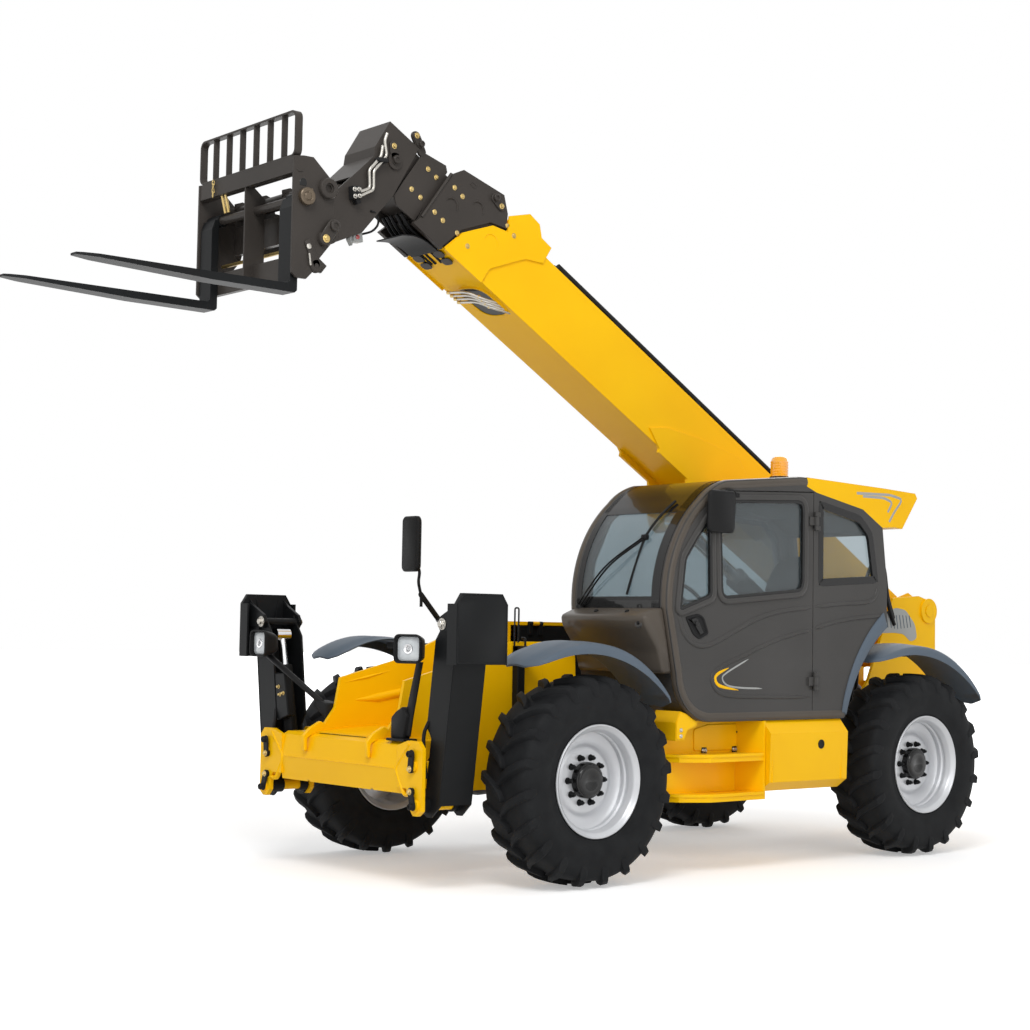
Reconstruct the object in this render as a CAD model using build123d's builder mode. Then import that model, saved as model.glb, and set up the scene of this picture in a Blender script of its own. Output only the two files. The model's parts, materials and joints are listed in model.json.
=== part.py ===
from build123d import *
import os
from math import atan2, cos, degrees, pi, radians, sin

# Telehandler: rigid four-wheel chassis with front stabilisers, cab on the left, engine on the
# right and a raised four-section boom with a pallet-fork carriage.
# Millimetres. +X forward, +Y to the driver's left, +Z up, ground at Z = 0.
# Every X below is counted from the point midway between the axles. The row's origin is under the
# middle of the machine's whole length, and "datum_x" is where the axles' midpoint stands from it.

# ---- driving sizes: running gear -------------------------------------------------------------
wheelbase = 3070
track = 2010
tyre_radius = 625            # over the lugs
tyre_width = 400
tyre_crown = 588             # carcass radius under the lugs
rim_radius = 309             # bead seat
rim_flange = 334
rim_half_width = 184
disc_bore = 100
hub_radius = 108
casing_radius = 165          # differential casing
nose_reach = 250             # from the axle's line to the face that the propeller shaft meets
kingpin_y = 860              # steering axis, each side
kingpin_radius = 24
spindle_radius = 45
lugs_per_side = 20
lug_thickness = 46
lug_skew = 38                # degrees off the axle's line
seat_gap = 0.3               # parts that rest on each other
pin_gap = 0.5                # a pin in its bore
side_gap = 6                 # between a moving part and its neighbour

# ---- driving sizes: chassis --------------------------------------------------------------------
rail_y = 330                 # middle of each rail's thickness
rail_thickness = 24
rail_low = 520
rail_top = 954.7
nose_x = 2550
tail_x = -2741
clevis_y = 840
clevis_plate = 26
beam_rear_x = 2200

# ---- driving sizes: boom -------------------------------------------------------------------------
boom_angle = 30.3            # as it stands
pivot_x = -2650
pivot_z = 1700
pivot_pin_radius = 45
boom_width = 380
boom_depth = 470
boom_wall = 12
section_step = 22            # each side, from one section to the next
section_wall = 10
outer_front = 5090           # along the boom from the pivot
outer_rear = -60
collar_plate = 10
rod_pin_s = 2350             # lift cylinder's eye on the boom
rod_pin_t = -700
lift_foot_x = -2300
lift_foot_z = 1000
lift_barrel_radius = 74
lift_retract = 440           # how far the rod still slides in
lift_rod_radius = 48
head_half_width = 160
head_plate = 14

# ---- driving sizes: coupler, carriage and forks -----------------------------------------------
tilt_pivot_x = 2835
tilt_pivot_z = 3830
tilt_foot_x = 2360
tilt_foot_z = 4345
tilt_arm = 140
tilt_arm_angle = 68
tilt_barrel_radius = 45
tilt_rod_radius = 28
tilt_retract = 90
carriage_half_width = 520
carriage_plate = 16
carriage_front_x = 3322
shaft_x = 3239
shaft_z = 3924
shaft_radius = 25
hook_tube_x = 3095
hook_tube_z = 3992
hook_tube_radius = 45
hook_bore_radius = 22
lock_x = 3060
lock_z = 3760
guard_top = 4415
guard_bar = 12
fork_length = 1300           # from the shank's front face
fork_width = 125
fork_thickness = 48
fork_y = 430
fork_top = 3425

# ---- driving sizes: stabilisers ------------------------------------------------------------------
leg_pin_y = 785
leg_pin_z = 500
leg_lean = 7.5               # degrees off upright, outwards
leg_length = 1060
leg_depth = 230              # along X
leg_width = 190
leg_wall = 12
leg_x = 2388
leg_boss_reach = 40          # the foot's boss in front of the leg
foot_pin_y = 765
foot_pin_z = 720
pad_height = 400
pad_length = 370

# ---- driving sizes: cab ---------------------------------------------------------------------------
cab_inner_y = 270
cab_outer_y = 1140
cab_wall = 40
door_thickness = 34
glass = 6

leg_front = leg_x + leg_depth / 2
leg_rear = leg_x - leg_depth / 2
beam_front_x = leg_front + leg_boss_reach + side_gap + clevis_plate
clevis_rear_x = leg_rear - side_gap - clevis_plate
half_base = wheelbase / 2
half_track = track / 2
fork_tip_x = shaft_x + shaft_radius + fork_thickness + fork_length
jaw_depth = 80               # tow jaw, behind the rear plate
rear_plate_x = tail_x - 9
datum_x = -(fork_tip_x + rear_plate_x - jaw_depth) / 2
lift = radians(boom_angle)
yellow = Color(0.98, 0.76, 0.03)
dark = Color(0.16, 0.15, 0.15)


# ---- planes ------------------------------------------------------------------------------------------
def side(y):
    """Upright plane across Y: local x forward, local y up, extrudes to the right."""
    return Plane(origin=(datum_x, y, 0), x_dir=(1, 0, 0), z_dir=(0, -1, 0))


def boom_side(y):
    """As side(), but local x runs along the boom from its pivot and local y is square to it."""
    return Plane(origin=(datum_x + pivot_x, y, pivot_z), x_dir=(cos(lift), 0, sin(lift)), z_dir=(0, -1, 0))


def front(x):
    """Upright plane across X: local x to the left, local y up, extrudes forward."""
    return Plane(origin=(datum_x + x, 0, 0), x_dir=(0, 1, 0), z_dir=(1, 0, 0))


def level(z):
    """Level plane: local x forward, local y to the left, extrudes up."""
    return Plane(origin=(datum_x, 0, z), x_dir=(1, 0, 0), z_dir=(0, 0, 1))


def boom_point(s, t):
    """X and Z of a point given along and square to the boom."""
    return (pivot_x + s * cos(lift) - t * sin(lift), pivot_z + s * sin(lift) + t * cos(lift))


def boom_local(x, z):
    """Along and square to the boom, of a point given in X and Z."""
    dx, dz = x - pivot_x, z - pivot_z
    return (dx * cos(lift) + dz * sin(lift), dz * cos(lift) - dx * sin(lift))


# ---- small building steps: each adds to the part whose block it is called in ------------------
def outline(plane, points, rounding=0):
    """Straight-sided face on a plane, its corners rounded if asked."""
    with BuildSketch(plane) as face:
        with BuildLine():
            Polyline(*points, close=True)
        make_face()
        if rounding:
            fillet(face.vertices(), rounding)
    return face.sketch


def plate(planes, points, y_low, y_high, mode=Mode.ADD, rounding=0):
    """Plate of the given outline between two Y planes."""
    extrude(outline(planes(y_high), points, rounding), amount=y_high - y_low, mode=mode)


def disc(planes, centre, radius, y_low, y_high, mode=Mode.ADD):
    """Round bar across the machine between two Y planes."""
    with BuildSketch(planes(y_high)) as face:
        with Locations(centre):
            Circle(radius)
    extrude(face.sketch, amount=y_high - y_low, mode=mode)


def block(x_span, y_span, z_span, mode=Mode.ADD):
    """Box between two X, two Y and two Z planes."""
    middle = [(low + high) / 2 for low, high in (x_span, y_span, z_span)]
    with Locations((datum_x + middle[0], middle[1], middle[2])):
        Box(x_span[1] - x_span[0], y_span[1] - y_span[0], z_span[1] - z_span[0], mode=mode)


def bar(start, end, radius, mode=Mode.ADD):
    """Round bar between two points."""
    begin = Vector(datum_x + start[0], start[1], start[2])
    finish = Vector(datum_x + end[0], end[1], end[2])
    with BuildSketch(Plane(origin=begin, z_dir=finish - begin)) as face:
        Circle(radius)
    extrude(face.sketch, amount=(finish - begin).length, mode=mode)


def write(part, label, color):
    """Name the piece and write its file."""
    part.label = label
    part.color = color
    export_step(part, f"parts/{label}.step")


os.makedirs("parts", exist_ok=True)


# ---- chassis frame ---------------------------------------------------------------------------------
rail_outline = [
    (nose_x - 110, rail_low + 130), (nose_x, 740), (nose_x - 3, 840), (2447, 907), (2372, 1005), (2335, 1190),
    (1920, 1296), (1580, 1430), (1300, 1430), (1180, rail_top), (-1750, rail_top), (-1950, 1180),
    (-2230, 1790), (-2540, 1812), (-2700, 1770), (tail_x, 1660), (tail_x, 1260), (-2700, 1250), (-2700, 900),
    (-2640, 640),
    (-2100, rail_low), (2050, rail_low),
]
cross_members = [  # x_low, x_high, z_low, z_high
    (-2300, -2230, 600, 700), (-900, -780, 524, 556), (-250, -150, 524, 560 - seat_gap),
    (20, 120, 524, 560 - seat_gap), (1000, 1080, 524, 556),
    (2080, 2190, 700, 860),
]
rail_inner = rail_y - rail_thickness / 2
rail_outer = rail_y + rail_thickness / 2

with BuildPart() as chassis_frame:
    for y in (-rail_y, rail_y):
        plate(side, rail_outline, y - rail_thickness / 2, y + rail_thickness / 2)
        disc(side, (pivot_x, pivot_z), 95, y - 26, y + 26)
    for x_low, x_high, z_low, z_high in cross_members:
        block((x_low, x_high), (-rail_inner, rail_inner), (z_low, z_high))
    for y in (-1, 1):
        span = sorted((y * (rail_inner - 70), y * rail_inner))
        disc(side, (lift_foot_x, lift_foot_z), 75, *span)
    # bores for the boom's pivot pin and for the lift cylinder's foot pin
    disc(side, (pivot_x, pivot_z), pivot_pin_radius + pin_gap, -400, 400, Mode.SUBTRACT)
    disc(side, (lift_foot_x, lift_foot_z), 35 + pin_gap, -400, 400, Mode.SUBTRACT)
    for x in (-half_base, half_base):
        # saddle for the axle beam
        block((x - 115, x + 115), (-rail_outer - 1, rail_outer + 1), (480, 760), Mode.SUBTRACT)
write(chassis_frame.part, "chassis_frame", yellow)

# ---- front stabiliser beam ------------------------------------------------------------------------
beam_outline = [
    (beam_rear_x, 600), (beam_front_x - 25, 555), (beam_front_x, 690),
    (beam_front_x - 20, 830), (beam_front_x - 60, 850), (beam_rear_x, 850),
]
clevis_outline = [
    (600, 590), (600, 830), (700, 862), (800, 862), (clevis_y, 820), (clevis_y, 470), (800, 440),
    (760, 440), (725, 480), (720, 560), (690, 590),
]
with BuildPart() as front_beam:
    plate(side, beam_outline, -620, 620)
    block((beam_rear_x - 1, nose_x + 1), (-rail_outer - seat_gap, -rail_inner + seat_gap), (500, 900), Mode.SUBTRACT)
    block((beam_rear_x - 1, nose_x + 1), (rail_inner - seat_gap, rail_outer + seat_gap), (500, 900), Mode.SUBTRACT)
    for turn in (-1, 1):
        points = [(turn * y, z) for y, z in clevis_outline]
        for x in (clevis_rear_x, beam_front_x - clevis_plate):
            extrude(outline(front(x), points), amount=clevis_plate)
        for y, z, radius in ((foot_pin_y, foot_pin_z, 28), (leg_pin_y, leg_pin_z, 32)):
            bar((clevis_rear_x - 4, turn * y, z), (beam_front_x + 10, turn * y, z), radius)
write(front_beam.part, "front_beam", yellow)

# ---- axles -------------------------------------------------------------------------------------------
for label, x in (("front_axle", half_base), ("rear_axle", -half_base)):
    with BuildPart() as axle:
        for turn in (-1, 1):
            bar((x, 0, tyre_radius), (x, turn * 700, tyre_radius), 85)
            for z_low, z_high in ((tyre_radius - 150, tyre_radius - 112), (tyre_radius + 112, tyre_radius + 150)):
                block((x - 60, x + 60), sorted((turn * 690, turn * (kingpin_y + 45))), (z_low, z_high))
                bar((x, turn * kingpin_y, z_low - 1), (x, turn * kingpin_y, z_high + 1), kingpin_radius + pin_gap,
                    Mode.SUBTRACT)
            block((x - 80, x + 80), sorted((turn * 640, turn * 735)), (tyre_radius - 150, tyre_radius + 150))
            block((x - 100, x + 100), sorted((turn * (rail_y - 60), turn * (rail_y + 60))), (700, 760 - seat_gap))
        inwards = -1 if x > 0 else 1
        casing = [(-330, 0), (-330, 84), (-130, casing_radius - 10), (-70, casing_radius), (70, casing_radius),
                  (130, casing_radius - 10), (330, 84), (330, 0)]
        with BuildSketch(Plane(origin=(datum_x + x, 0, tyre_radius), x_dir=(0, 1, 0), z_dir=(1, 0, 0))) as face:
            with BuildLine():
                Polyline(*casing, close=True)
            make_face()
        revolve(face.sketch, axis=Axis((datum_x + x, 0, tyre_radius), (0, 1, 0)))
        bar((x, 0, tyre_radius), (x + inwards * nose_reach, 0, tyre_radius), 70)
    write(axle.part, label, dark)

with BuildPart() as driveline:
    block((-260, 130), (-200, 200), (560, 760))
    for turn, start in ((1, 130), (-1, -260)):
        end = turn * (half_base - nose_reach - seat_gap)
        bar((start, 0, tyre_radius), (end, 0, tyre_radius), 38)
        bar((end - turn * 30, 0, tyre_radius), (end, 0, tyre_radius), 66)
write(driveline.part, "driveline", dark)

# ---- wheels: knuckle, rim with its planet hub, lugged tyre ----------------------------------------
rim_profile = [  # distance outboard of the wheel's middle, radius
    (-rim_half_width, rim_flange), (-rim_half_width + 8, rim_flange), (-rim_half_width + 16, rim_radius),
    (rim_half_width - 16, rim_radius), (rim_half_width - 8, rim_flange), (rim_half_width, rim_flange),
    (rim_half_width - 8, rim_radius - 12), (56, rim_radius - 12), (42, 265), (42, disc_bore),
    (30, disc_bore), (30, rim_radius - 12), (-rim_half_width + 8, rim_radius - 12),
]
tyre_half = tyre_width / 2
flat_share = cos(pi / lugs_per_side)         # from a flat's corner to its middle
carcass_profile = [  # the same, at the corners of the flats; one half of the section
    (165, (rim_radius + seat_gap) / flat_share), (166, rim_flange + 10), (tyre_half - 4, 430),
    (tyre_half - 10, 540), (150, tyre_crown - 4),
]
lug_reach = 150              # along the lug, from the wheel's middle to its shoulder
lug_sweep = lug_reach * sin(radians(lug_skew)) + lug_thickness / 2 * cos(radians(lug_skew))
lug_shoulder = (tyre_radius**2 - lug_sweep**2) ** 0.5        # so that the shoulder's corner is at the radius
lug_phase = degrees(atan2(lug_sweep, lug_shoulder))          # turns one such corner straight down
lug_profile = [
    (-10, tyre_crown - 24), (-10, tyre_radius - 4), (lug_reach, lug_shoulder), (238, 540), (150, 540),
]
wheels = [  # name, x, side
    ("front_left", half_base, 1), ("front_right", half_base, -1),
    ("rear_left", -half_base, 1), ("rear_right", -half_base, -1),
]


def wheel_plane(x, turn, roll=0.0, skew=0.0):
    """Plane through the wheel's middle: local x outboard, turned by skew about local y, which
    points away from the axle."""
    away = Vector(sin(radians(roll)), 0, cos(radians(roll)))
    outboard = Vector(0, turn, 0)
    along = outboard * cos(radians(skew)) + outboard.cross(away) * sin(radians(skew))
    return Plane(origin=(datum_x + x, turn * half_track, tyre_radius), x_dir=along, z_dir=along.cross(away))


def ringed(plane, profile, flats):
    """Solid ring round a plane's local y and z, made of flats between the profile's corners."""
    corners = []
    for index in range(flats):
        angle = 2 * pi * (index + 0.5) / flats
        corners.append([plane.from_local_coords((y, r * cos(angle), r * sin(angle))) for y, r in profile])
    faces = []
    for index in range(flats):
        here, there = corners[index - 1], corners[index]
        for step in range(len(profile)):
            quad = [here[step - 1], here[step], there[step], there[step - 1]]
            faces.append(Face(Wire.make_polygon(quad, close=True)))
    return Solid(Shell(faces))


tyres = {}
for turn in (1, -1):
    with BuildPart() as tyre:
        mirrored = [(-y, r) for y, r in reversed(carcass_profile)]
        add(ringed(wheel_plane(0, turn, lug_phase), carcass_profile + mirrored, lugs_per_side))
        for index in range(lugs_per_side):
            for half in (1, -1):
                roll = lug_phase + (index + (0 if half > 0 else 0.5)) * 360 / lugs_per_side
                across = wheel_plane(0, turn, roll, -half * turn * lug_skew)
                points = [(half * y, r) for y, r in lug_profile]
                extrude(outline(across, points), amount=lug_thickness / 2, both=True)
    tyres[turn] = tyre.part

for name, x, turn in wheels:
    axle_line = Axis((datum_x + x, turn * half_track, tyre_radius), (0, turn, 0))
    with BuildPart() as rim:
        revolve(outline(wheel_plane(x, turn), rim_profile), axis=axle_line)
        hub_profile = [(-20, 0), (-20, 118), (30, 118), (30, hub_radius), (104, hub_radius), (116, 94), (116, 0)]
        revolve(outline(wheel_plane(x, turn), hub_profile), axis=axle_line)
        bar((x, turn * (half_track - 30), tyre_radius), (x, turn * (half_track + 24), tyre_radius),
            spindle_radius + pin_gap, Mode.SUBTRACT)
    write(rim.part, f"rim_{name}", Color(0.75, 0.76, 0.78))

    write(Pos(x, 0, 0) * tyres[turn], f"tyre_{name}", Color(0.07, 0.07, 0.08))

    with BuildPart() as knuckle:
        for z_low, z_high in ((tyre_radius - 106, tyre_radius - 60), (tyre_radius + 60, tyre_radius + 106)):
            bar((x, turn * kingpin_y, z_low), (x, turn * kingpin_y, z_high), 52)
        bar((x, turn * kingpin_y, tyre_radius - 148), (x, turn * kingpin_y, tyre_radius + 148), kingpin_radius)
        bar((x, turn * (kingpin_y - 60), tyre_radius), (x, turn * (half_track - 24), tyre_radius), 104)
        bar((x, turn * kingpin_y, tyre_radius), (x, turn * (half_track + 20), tyre_radius), spindle_radius)
    write(knuckle.part, f"knuckle_{name}", dark)

# ---- boom ---------------------------------------------------------------------------------------------
boom_half = boom_width / 2
plate_y = boom_half + collar_plate           # outer face of the yellow side plates
rod_eye_half = 55
tilt_eye_half = 40


def tube(width_half, low, high, wall, s_low, s_high):
    """Rectangular tube along the boom."""
    plate(boom_side, [(s_low, low), (s_high, low), (s_high, high), (s_low, high)], -width_half, width_half)
    plate(
        boom_side, [(s_low - 1, low + wall), (s_high + 1, low + wall), (s_high + 1, high - wall),
                    (s_low - 1, high - wall)], wall - width_half, width_half - wall, Mode.SUBTRACT,
    )


def wear_pads(width_half, low, high, wall, reach, s_front):
    """Slide pads inside a section's front end, a seat gap short of the section that runs in it."""
    pads = [  # s from the front end, t span, y span
        (190, (low + wall - 1, low + wall + reach), (-width_half / 2, width_half / 2)),
        (560, (high - wall - reach, high - wall + 1), (-width_half / 2, width_half / 2)),
    ]
    for back, (t_low, t_high), (y_low, y_high) in pads:
        s_low, s_high = s_front - back, s_front - back + 140
        plate(boom_side, [(s_low, t_low), (s_high, t_low), (s_high, t_high), (s_low, t_high)], y_low, y_high)


with BuildPart() as boom_outer:
    tube(boom_half, -boom_depth, 0, boom_wall, outer_rear, outer_front)
    wear_pads(boom_half, -boom_depth, 0, boom_wall, section_step + 2 - boom_wall - seat_gap, outer_front)
    # the front end is cut back towards the top
    nose_cut = [(outer_front + 1, -boom_depth + 10), (outer_front - 60, -300), (outer_front - 225, -111),
                (outer_front - 340, -67), (outer_front - 340, 20), (outer_front + 1, 20)]
    plate(boom_side, nose_cut, -boom_half - 1, boom_half + 1, Mode.SUBTRACT)
    collar = [(outer_front, -boom_depth - 12), (outer_front - 60, -300), (outer_front - 225, -111),
              (outer_front - 345, -67), (outer_front - 300, 27), (outer_front - 430, 150),
              (outer_front - 530, 144), (outer_front - 590, 80), (outer_front - 690, 76),
              (outer_front - 685, -54), (outer_front - 550, -126), (outer_front - 350, -362),
              (outer_front - 340, -boom_depth - 12)]
    # doubler round the lift cylinder's pin, deepest at the pin
    bracket = [(3059, -413), (2908, -482), (2900, -508), (rod_pin_s + 230, -508),
               (rod_pin_s + 90, rod_pin_t - 20), (rod_pin_s + 40, rod_pin_t - 66), (rod_pin_s - 40, rod_pin_t - 66),
               (rod_pin_s - 95, rod_pin_t - 20), (rod_pin_s - 290, -508), (1760, -508), (1750, -440),
               (1900, -240), (2229, -91), (2628, -203), (2922, -317)]
    rear_cheek = [(outer_rear, -boom_depth), (900, -boom_depth), (700, -330), (260, -60), (120, 90),
                  (0, 100), (-80, 60), (-100, -60), (outer_rear, -200)]
    for y_low, y_high in ((-plate_y, -boom_half), (boom_half, plate_y)):
        plate(boom_side, collar, y_low, y_high)
        plate(boom_side, rear_cheek, y_low, y_high)
    for y_low, y_high in ((-plate_y, -boom_half + 14), (boom_half - 14, plate_y)):
        plate(boom_side, bracket, y_low, y_high)
    for turn in (-1, 1):
        # pivot bosses, and bosses that hold the lift cylinder's pin
        disc(boom_side, (0, 0), 90, *sorted((turn * (boom_half - 20), turn * (rail_inner - 26))))
        disc(boom_side, (rod_pin_s, rod_pin_t), 62, *sorted((turn * (rod_eye_half + 8), turn * boom_half)))
    disc(boom_side, (0, 0), pivot_pin_radius, -rail_outer - 20, rail_outer + 20)
    # roof of the front collar, and the channel for the hoses on top
    plate(boom_side, [(outer_front - 430, 138), (outer_front - 430, 150), (outer_front - 530, 144),
                      (outer_front - 530, 132)], -plate_y, plate_y)
    plate(boom_side, [(1700, 0), (4250, 0), (4250, 12), (1700, 12)], 60, 150)
    lifting_eye = [(3180, 0), (3330, 0), (3300, 70), (3255, 95), (3210, 70)]
    plate(boom_side, lifting_eye, 20, 40)
    disc(boom_side, (3255, 50), 20, 10, 50, Mode.SUBTRACT)
write(boom_outer.part, "boom_outer", yellow)

# hose carrier tubes that lie along the boom's top
with BuildPart() as hose_tubes:
    for y, t in ((82, 52), (128, 52)):
        start = boom_point(1750, t)
        end = boom_point(4250, t)
        bar((start[0], y, start[1]), (end[0], y, end[1]), 21)
    for s in (1800, 2700, 3600, 4150):
        plate(boom_side, [(s, 12 + seat_gap), (s + 50, 12 + seat_gap), (s + 50, 55), (s, 55)], 62, 148)
write(hose_tubes.part, "hose_tubes", dark)

sections = [  # name, tube start, tube end, head outline
    ("boom_section_1", 620, 5130, [
        (5106, -462), (5046, -292), (4882, -98), (4762, -52), (4800, 36), (4888, 122), (5227, 46),
        (5279, -29), (5325, -398), (5362, -492), (5106, -492)]),
    ("boom_section_2", 700, 5330, [
        (5342, -452), (5300, -26), (5330, 4), (5509, -40), (5534, -278), (5546, -416), (5500, -452)]),
]
for number, (name, s_low, s_high, head) in enumerate(sections, start=1):
    half = boom_half - number * section_step
    low = -boom_depth + number * (section_step + 2)
    high = -number * (section_step + 2)
    plate_out = boom_half if number == 1 else half
    with BuildPart() as section:
        tube(half, low, high, section_wall, s_low, s_high)
        wear_pads(half, low, high, section_wall, section_step + 2 - section_wall - seat_gap, s_high)
        for turn in (-1, 1):
            y_span = sorted((turn * (half - section_wall), turn * plate_out))
            plate(boom_side, head, *y_span)
    write(section.part, name, dark)

# innermost section with the head that drops from its end
head_outline = [
    (5556, -52), (5815, -55), (5820, -260), (5797, -318), (5834, -450), (5900, -670), (5905, -850),
    (5876, -928), (5810, -990), (5738, -935), (5620, -770), (5584, -575), (5556, -430),
]
head_covers = [  # outlines of the plates between the head's two sides
    [(5556, -52), (5815, -55), (5820, -260), (5797, -318), (5834, -450), (5858, -530), (5847, -533),
     (5823, -452), (5786, -318), (5809, -260), (5804, -66), (5556, -63)],
    [(5556, -430), (5584, -575), (5620, -770), (5700, -880), (5709, -874), (5630, -766), (5595, -573),
     (5567, -430)],
]
pivot_s, pivot_t = boom_local(tilt_pivot_x, tilt_pivot_z)
foot_s, foot_t = boom_local(tilt_foot_x, tilt_foot_z)
third_half = boom_half - 3 * section_step
third_low = -boom_depth + 3 * (section_step + 2)
third_high = -3 * (section_step + 2)
with BuildPart() as boom_section_3:
    tube(third_half, third_low, third_high, section_wall, 780, 5600)
    for turn in (-1, 1):
        plate_span = sorted((turn * (head_half_width - head_plate), turn * head_half_width))
        plate(boom_side, head_outline, *plate_span)
        plate(boom_side, [(5560, third_low), (5598, third_low), (5598, third_high), (5560, third_high)],
              *sorted((turn * third_half, turn * (head_half_width - head_plate))))
        disc(boom_side, (pivot_s, pivot_t), 66, *sorted((turn * (head_half_width - head_plate), turn * 170)))
        disc(boom_side, (foot_s, foot_t), 52, *sorted((turn * (tilt_eye_half + 6), turn * 172)))
    for cover in head_covers:
        plate(boom_side, cover, head_plate - head_half_width, head_half_width - head_plate)
    disc(boom_side, (foot_s, foot_t), 26, -178, 178)
    disc(boom_side, (pivot_s, pivot_t), 32, -178, 178)
write(boom_section_3.part, "boom_section_3", dark)


# ---- cylinders: barrel with its foot eye, rod with its far eye ------------------------------------
def ram(name, foot, eye, barrel_radius, rod_radius, barrel_length, foot_eye, far_eye, foot_bore, planes,
        retract=0):
    """Barrel and rod between two pins that run across one plane. foot_eye and far_eye give the
    eye's radius and half width. The far eye holds its own pin, which stops short of the ears. The
    rod's inner end leaves room to slide in by "retract"."""
    start = Vector(datum_x + foot[0], foot[1], foot[2])
    end = Vector(datum_x + eye[0], eye[1], eye[2])
    along = (end - start).normalized()
    length = (end - start).length
    across = planes(0).z_dir
    with BuildPart() as barrel:
        with BuildSketch(Plane(origin=start + along * (foot_eye[0] * 0.7), z_dir=along)) as face:
            Circle(barrel_radius)
        extrude(face.sketch, amount=barrel_length - foot_eye[0] * 0.7)
        with BuildSketch(Plane(origin=start + along * (barrel_length - 60), z_dir=along)) as face:
            Circle(barrel_radius + 4)
        extrude(face.sketch, amount=60)
        with BuildSketch(Plane(origin=start - across * foot_eye[1], z_dir=across)) as face:
            Circle(foot_eye[0])
        extrude(face.sketch, amount=2 * foot_eye[1])
        with BuildSketch(Plane(origin=start - across * (foot_eye[1] + 200), z_dir=across)) as face:
            Circle(foot_bore)
        extrude(face.sketch, amount=2 * foot_eye[1] + 400, mode=Mode.SUBTRACT)
        with BuildSketch(Plane(origin=start + along * (foot_eye[0] + 20), z_dir=along)) as face:
            Circle(rod_radius + pin_gap)
        extrude(face.sketch, amount=barrel_length, mode=Mode.SUBTRACT)
    write(barrel.part, f"{name}_barrel", dark)
    with BuildPart() as rod:
        inner_end = foot_eye[0] + 40 + retract
        with BuildSketch(Plane(origin=start + along * inner_end, z_dir=along)) as face:
            Circle(rod_radius)
        extrude(face.sketch, amount=length - inner_end)
        with BuildSketch(Plane(origin=end - across * far_eye[1], z_dir=across)) as face:
            Circle(far_eye[0])
        extrude(face.sketch, amount=2 * far_eye[1])
    write(rod.part, f"{name}_rod", Color(0.8, 0.8, 0.82))


rod_pin = boom_point(rod_pin_s, rod_pin_t)
ram("lift", (lift_foot_x, 0, lift_foot_z), (rod_pin[0], 0, rod_pin[1]), lift_barrel_radius, lift_rod_radius,
    1700, (80, 100), (60, rod_eye_half), 35 + pin_gap, side, lift_retract)
arm_angle = radians(tilt_arm_angle)
tilt_pin = (tilt_pivot_x + tilt_arm * cos(arm_angle), tilt_pivot_z + tilt_arm * sin(arm_angle))
ram("tilt", (tilt_foot_x, 0, tilt_foot_z), (tilt_pin[0], 0, tilt_pin[1]), tilt_barrel_radius, tilt_rod_radius,
    500, (48, tilt_eye_half), (42, tilt_eye_half), 26 + pin_gap, side, tilt_retract)

# the lift cylinder's foot pin, held by the rails
with BuildPart() as foot_pin:
    disc(side, (lift_foot_x, lift_foot_z), 35, -rail_outer - 12, rail_outer + 12)
write(foot_pin.part, "lift_foot_pin", dark)

# ---- coupler ------------------------------------------------------------------------------------------
hub_half = head_half_width - head_plate - side_gap
coupler_plate = [
    (tilt_pivot_x - 40, tilt_pivot_z + 30), (tilt_pivot_x + 60, tilt_pivot_z + 120), (3030, 3960),
    (3046, 4046), (3095, 4062), (3140, 4046), (3136, 3925), (3136, 3740), (3100, 3700), (3020, 3712),
    (tilt_pivot_x, tilt_pivot_z - 60),
]
ear_outline = [
    (tilt_pivot_x - 50, tilt_pivot_z), (tilt_pin[0] - 44, tilt_pin[1] + 8), (tilt_pin[0] - 10, tilt_pin[1] + 46),
    (tilt_pin[0] + 40, tilt_pin[1] + 30), (3020, 3930), (3020, 3780), (tilt_pivot_x, tilt_pivot_z - 50),
]
with BuildPart() as coupler:
    disc(side, (tilt_pivot_x, tilt_pivot_z), 58, -hub_half, hub_half)
    for turn in (-1, 1):
        plate(side, coupler_plate, *sorted((turn * (hub_half - 22), turn * hub_half)))
        plate(side, ear_outline, *sorted((turn * (tilt_eye_half + 6), turn * (tilt_eye_half + 26))))
        plate(side, coupler_plate[2:9], *sorted((turn * 380, turn * 402)))
    plate(side, [(3000, 3760), (3040, 3760), (3040, 3940), (3000, 3940)], -402, 402)
    plate(side, [(3100, 3730), (3136, 3730), (3136, 3900), (3100, 3900)], -402, 402)
    disc(side, (hook_tube_x, hook_tube_z), hook_tube_radius + seat_gap, -402, 402, Mode.SUBTRACT)
    disc(side, (tilt_pivot_x, tilt_pivot_z), 32 + pin_gap, -402, 402, Mode.SUBTRACT)
write(coupler.part, "coupler", dark)

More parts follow.
